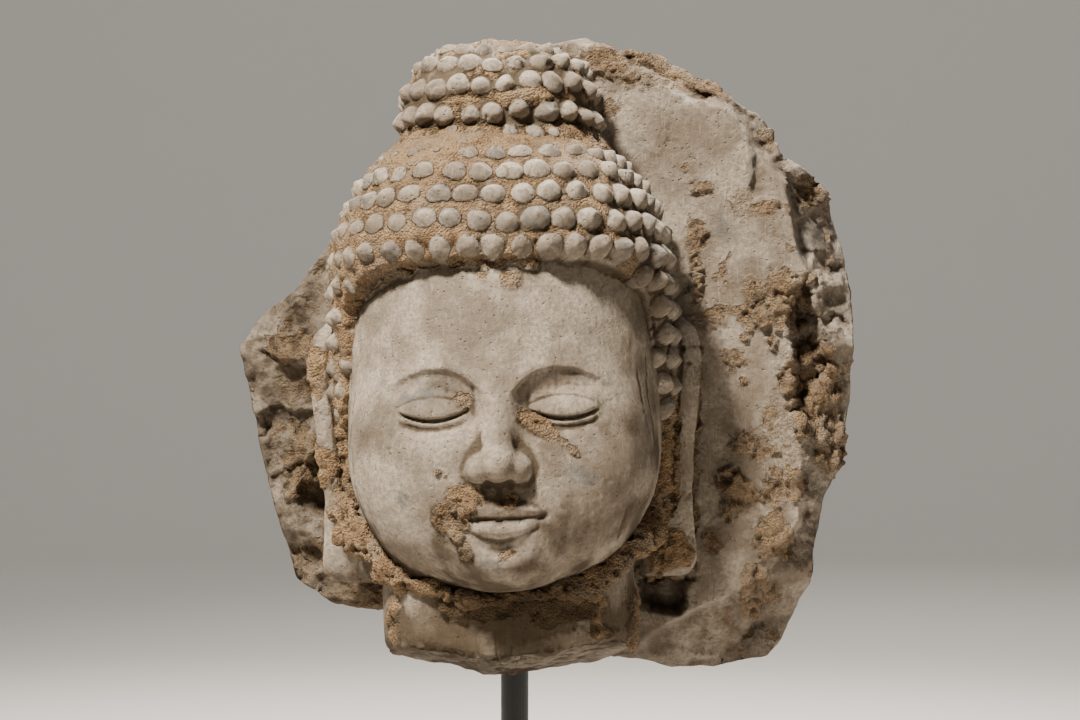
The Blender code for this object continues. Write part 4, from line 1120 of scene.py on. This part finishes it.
def weathered_limestone():
    """Limestone, cut, rubbed smooth, then buried: a dull pale buff ground with a fine grain and no gloss.

    To the eye: soft mottling, dark specks, hair cracks, faint upright scratches and fine pits all over. The
    marks of the pieces say where the rest lies: smoky grey stains, old breaks in small tilted facets, tan
    crumbly crust with a ragged edge, and brown earth, which also carries painted shade in dips, under the
    chin and jaw, at the hair's edge and between the curls.
    """
    material, tree, sockets = new_material("weathered_limestone")
    place = node(tree, "TexCoord", {})["Object"]
    marks = ("crust", "soil_and_shade", "stain", "broken")
    crust, soil_and_shade, stain, broken = (node(tree, "Attribute", {}, attribute_name=name)["Fac"] for name in marks)
    cloud = {}
    for name, size, detail, roughness in STONE_CLOUDS:
        inputs = {"Vector": place, "Scale": per_metre(size), "Detail": detail, "Roughness": roughness}
        cloud[name] = node(tree, "TexNoise", inputs)["Fac"]
    upright = node(tree, "Mapping", {"Vector": place, "Scale": (1, 1, 0.07)})[0]
    inputs = {"Vector": upright, "Scale": per_metre(1.1), "Detail": 2, "Roughness": 0.5}
    scratch = node(tree, "TexNoise", inputs)["Fac"]

    # Specks: in the few cells of 4 mm with a high random number, near the cell's middle
    cells = node(tree, "TexVoronoi", {"Vector": place, "Scale": per_metre(4)})
    few = node(tree, "SeparateColor", {0: cells["Color"]})[0]
    speck = node(tree, "Math", {0: few, 1: 0.42, 2: -0.3}, operation="MULTIPLY_ADD")[0]
    speck = node(tree, "Math", {0: speck, 1: cells["Distance"]}, operation="SUBTRACT")[0]

    # Hair cracks: the edges of tall bent cells, here and there
    bent = node(tree, "TexNoise", {"Vector": place, "Scale": per_metre(12), "Detail": 3})["Color"]
    inputs = {0: bent, 1: (0.012, 0.012, 0.012), 2: place}
    bent = node(tree, "VectorMath", inputs, operation="MULTIPLY_ADD")[0]
    tall = node(tree, "Mapping", {"Vector": bent, "Scale": (1, 1, 0.4)})[0]
    inputs = {"Vector": tall, "Scale": per_metre(34)}
    split = node(tree, "TexVoronoi", inputs, feature="DISTANCE_TO_EDGE")["Distance"]
    split = node(tree, "MapRange", {0: split, 1: 0.003, 2: 0.014, 3: 1, 4: 0}, **SMOOTH)[0]
    here = node(tree, "MapRange", {0: cloud["cracked"], 1: 0.54, 2: 0.6}, **SMOOTH)[0]
    split = node(tree, "Math", {0: split, 1: here}, operation="MULTIPLY")[0]

    coarse, tone = facets(tree, bent, 21, 400)
    small, _ = facets(tree, bent, 7, 360)
    old_break = node(tree, "Math", {0: broken, 1: tone}, operation="MULTIPLY")[0]
    smoky = node(tree, "Math", {0: stain, 1: cloud["smoke"]}, operation="MULTIPLY")[0]
    colour = coats(tree, "#7f7161", (
        (cloud["mottle"], 0.36, 0.64, 1.0, "#b1a390"), (cloud["grain"], 0.36, 0.64, 0.52, "#716250"),
        (scratch, 0.6, 0.72, 0.2, "#c9bca8"), (scratch, 0.38, 0.26, 0.4, "#6a5a49"),
        (speck, -0.02, 0.03, 0.75, "#6d5a45"), (split, 0, 1, 0.5, "#54432f"),
        (old_break, 0.1, 1.0, 0.26, "#6b6056"), (smoky, 0.2, 0.6, 0.75, "#5f5d58"),
    ))
    crumb = node(tree, "TexVoronoi", {"Vector": place, "Scale": per_metre(1.3)})["Distance"]
    tan = coats(tree, "#886c4e", (
        (cloud["lumps"], 0.36, 0.62, 1.0, "#a58763"), (cloud["pockets"], 0.46, 0.66, 0.55, "#5f4a33"),
        (crumb, 0.4, 0.8, 0.2, "#534030"), (cloud["dust"], 0.46, 0.66, 0.55, "#8e7f6c"),
    ))
    ragged = node(tree, "Math", {0: cloud["ragged"], 1: 1.1, 2: -0.55}, operation="MULTIPLY_ADD")[0]
    crust = node(tree, "Math", {0: crust, 1: ragged})[0]
    crust = node(tree, "MapRange", {0: crust, 1: 0.22, 2: 0.78}, **SMOOTH)[0]
    colour = node(tree, "Mix", {0: crust, 6: colour, 7: tan}, data_type="RGBA")[2]
    # Dark brown by the soil mark: earth, and painted shade in dips, under chin and jaw, at the hair's edge
    # and between curls
    colour = coats(tree, colour, ((soil_and_shade, 0.05, 0.95, 0.85, "#42331f"),))

    # Relief too fine for the mesh: pits, grit in the crust, facets in the breaks
    pits = node(tree, "MapRange", {0: cells["Distance"], 1: 0, 2: 0.22}, **SMOOTH)[0]
    smooth = node(tree, "Math", {0: pits, 1: 0.6, 2: cloud["smooth"]}, operation="MULTIPLY_ADD")[0]
    gritty = node(tree, "Math", {0: crumb, 1: -1.2, 2: cloud["gritty"]}, operation="MULTIPLY_ADD")[0]
    height = node(tree, "Mix", {0: crust, 2: smooth, 3: gritty})[0]
    rocky = node(tree, "Math", {0: cloud["rocky"], 1: 1.2, 2: coarse}, operation="MULTIPLY_ADD")[0]
    rocky = node(tree, "Math", {0: rocky, 1: small})[0]
    height = node(tree, "Math", {0: rocky, 1: broken, 2: height}, operation="MULTIPLY_ADD")[0]
    firm = node(tree, "Math", {0: crust, 1: broken}, operation="MAXIMUM")[0]
    force = node(tree, "MapRange", {0: firm, 3: 0.95, 4: 1}, **SMOOTH)[0]
    relief = node(tree, "Bump", {"Height": height, "Distance": 0.0021, "Strength": force})[0]
    looks = {"Base Color": colour, "Roughness": 0.92, "IOR": 1.5, "Specular IOR Level": 0.25}
    fill_in(tree, sockets, looks | {"Normal": relief})
    return material


def satin_black_paint():
    """Steel, painted satin black: near-black with a broad soft sheen, slightly uneven as brushed paint is."""
    material, tree, sockets = new_material("satin_black_paint")
    place = node(tree, "TexCoord", {})["Object"]
    uneven = node(tree, "TexNoise", {"Vector": place, "Scale": per_metre(3), "Detail": 3})["Fac"]
    colour = coats(tree, "#121212", ((uneven, 0.3, 0.7, 1.0, "#1b1a19"),))
    roughness = node(tree, "MapRange", {0: uneven, 1: 0.3, 2: 0.7, 3: 0.38, 4: 0.5}, **SMOOTH)[0]
    relief = node(tree, "Bump", {"Height": uneven, "Distance": 0.0002, "Strength": 0.3})[0]
    fill_in(tree, sockets, {"Base Color": colour, "Roughness": roughness, "Normal": relief})
    return material


# The floor, in metres: flat out to here, radius of the bend up, top of the wall
FLOOR_FLAT, FLOOR_BEND, WALL_TOP = 2.6, 1.2, 5.0


def make_floor():
    """A pale, matt, round floor that curves up by a quarter circle into a wall all round."""
    bend = np.linspace(0, np.pi / 2, 24)
    out, up = FLOOR_FLAT + FLOOR_BEND * np.sin(bend), FLOOR_BEND * (1 - np.cos(bend))
    radius = np.concatenate([[0.5], out, [FLOOR_FLAT + FLOOR_BEND]])[:, None]
    height = np.concatenate([[0.0], up, [WALL_TOP]])[:, None]
    turn = np.linspace(0, 2 * np.pi, 120, endpoint=False)[None]
    points = np.stack([radius * np.cos(turn), radius * np.sin(turn), height + 0 * turn], -1)
    faces, _ = quads(len(radius), 120, True)
    mesh = bpy.data.meshes.new("floor")
    mesh.from_pydata(points.reshape(-1, 3).tolist(), [], faces.tolist() + [list(range(119, -1, -1))])
    mesh.shade_smooth()
    material, tree, sockets = new_material("pale_floor")
    fill_in(tree, sockets, {"Base Color": "#bdb8b0", "Roughness": 0.9})
    mesh.materials.append(material)
    floor = bpy.data.objects.new("floor", mesh)
    bpy.context.scene.collection.objects.link(floor)


def light(name, place, size, power, target, spread=180, colour=(1, 1, 1)):
    """A round area light of a size in metres and a power in watts, turned to a target."""
    data = bpy.data.lights.new(name, "AREA")
    data.shape, data.size, data.energy = "DISK", size, power
    data.spread = math.radians(spread)
    data.color = colour
    lamp = bpy.data.objects.new(name, data)
    lamp.location = place
    lamp.rotation_euler = (Vector(target) - Vector(place)).to_track_quat("-Z", "Y").to_euler()
    bpy.context.scene.collection.objects.link(lamp)


# The camera: what it points at in metres, its turn from the front, its distance, lens and sensor width in mm
CAMERA_TARGET = (0.0147, 0.0, 0.300)
CAMERA_TURN, CAMERA_DISTANCE = 2.0, 1.6
LENS, SENSOR = 91.95, 36.0


def make_camera():
    """The photograph's view: level, 2 degrees round to the right, 1.6 m away."""
    data = bpy.data.cameras.new("camera")
    data.lens, data.sensor_width = LENS, SENSOR
    camera = bpy.data.objects.new("camera", data)
    turn = math.radians(CAMERA_TURN)
    back = Vector((math.sin(turn), -math.cos(turn), 0))
    camera.location = Vector(CAMERA_TARGET) + back * CAMERA_DISTANCE
    camera.rotation_euler = (-back).to_track_quat("-Z", "Y").to_euler()
    bpy.context.scene.collection.objects.link(camera)
    bpy.context.scene.camera = camera


def make_light():
    """Plain soft studio light: a key high on the left, a weak wide fill, one light behind for the back.

    A fourth brightens the backdrop, and the room is dim and pale.
    """
    light("key", (-0.82, -1.35, 2.25), 0.35, 18, (0, 0, 0.3), 50, (1.0, 0.955, 0.89))
    light("fill", (1.8, -1.6, 0.6), 1.6, 1.1, (0, 0, 0.3))
    light("back_light", (0.4, 1.1, 2.3), 0.5, 16, (0, 0, 0.3), 60)
    light("backdrop_light", (0.0, 0.5, 2.8), 1.5, 75, (0, 3.4, 0.9))
    world = bpy.data.worlds.new("room")
    world.use_nodes = True
    world.node_tree.nodes["Background"].inputs["Color"].default_value = linear("#d6dbe2")
    world.node_tree.nodes["Background"].inputs["Strength"].default_value = 0.2
    bpy.context.scene.world = world


stone = weathered_limestone()
face_and_neck(stone)
jaw_crust(stone)
hair_cap(stone)
hair_bun(stone)
ear(-1, "ear_left", stone)
ear(1, "ear_right", stone)
slab(stone)
paint = satin_black_paint()
for part in ("post", "foot"):
    for material_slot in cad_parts[part].material_slots:
        material_slot.material = paint
make_floor()
make_light()
make_camera()
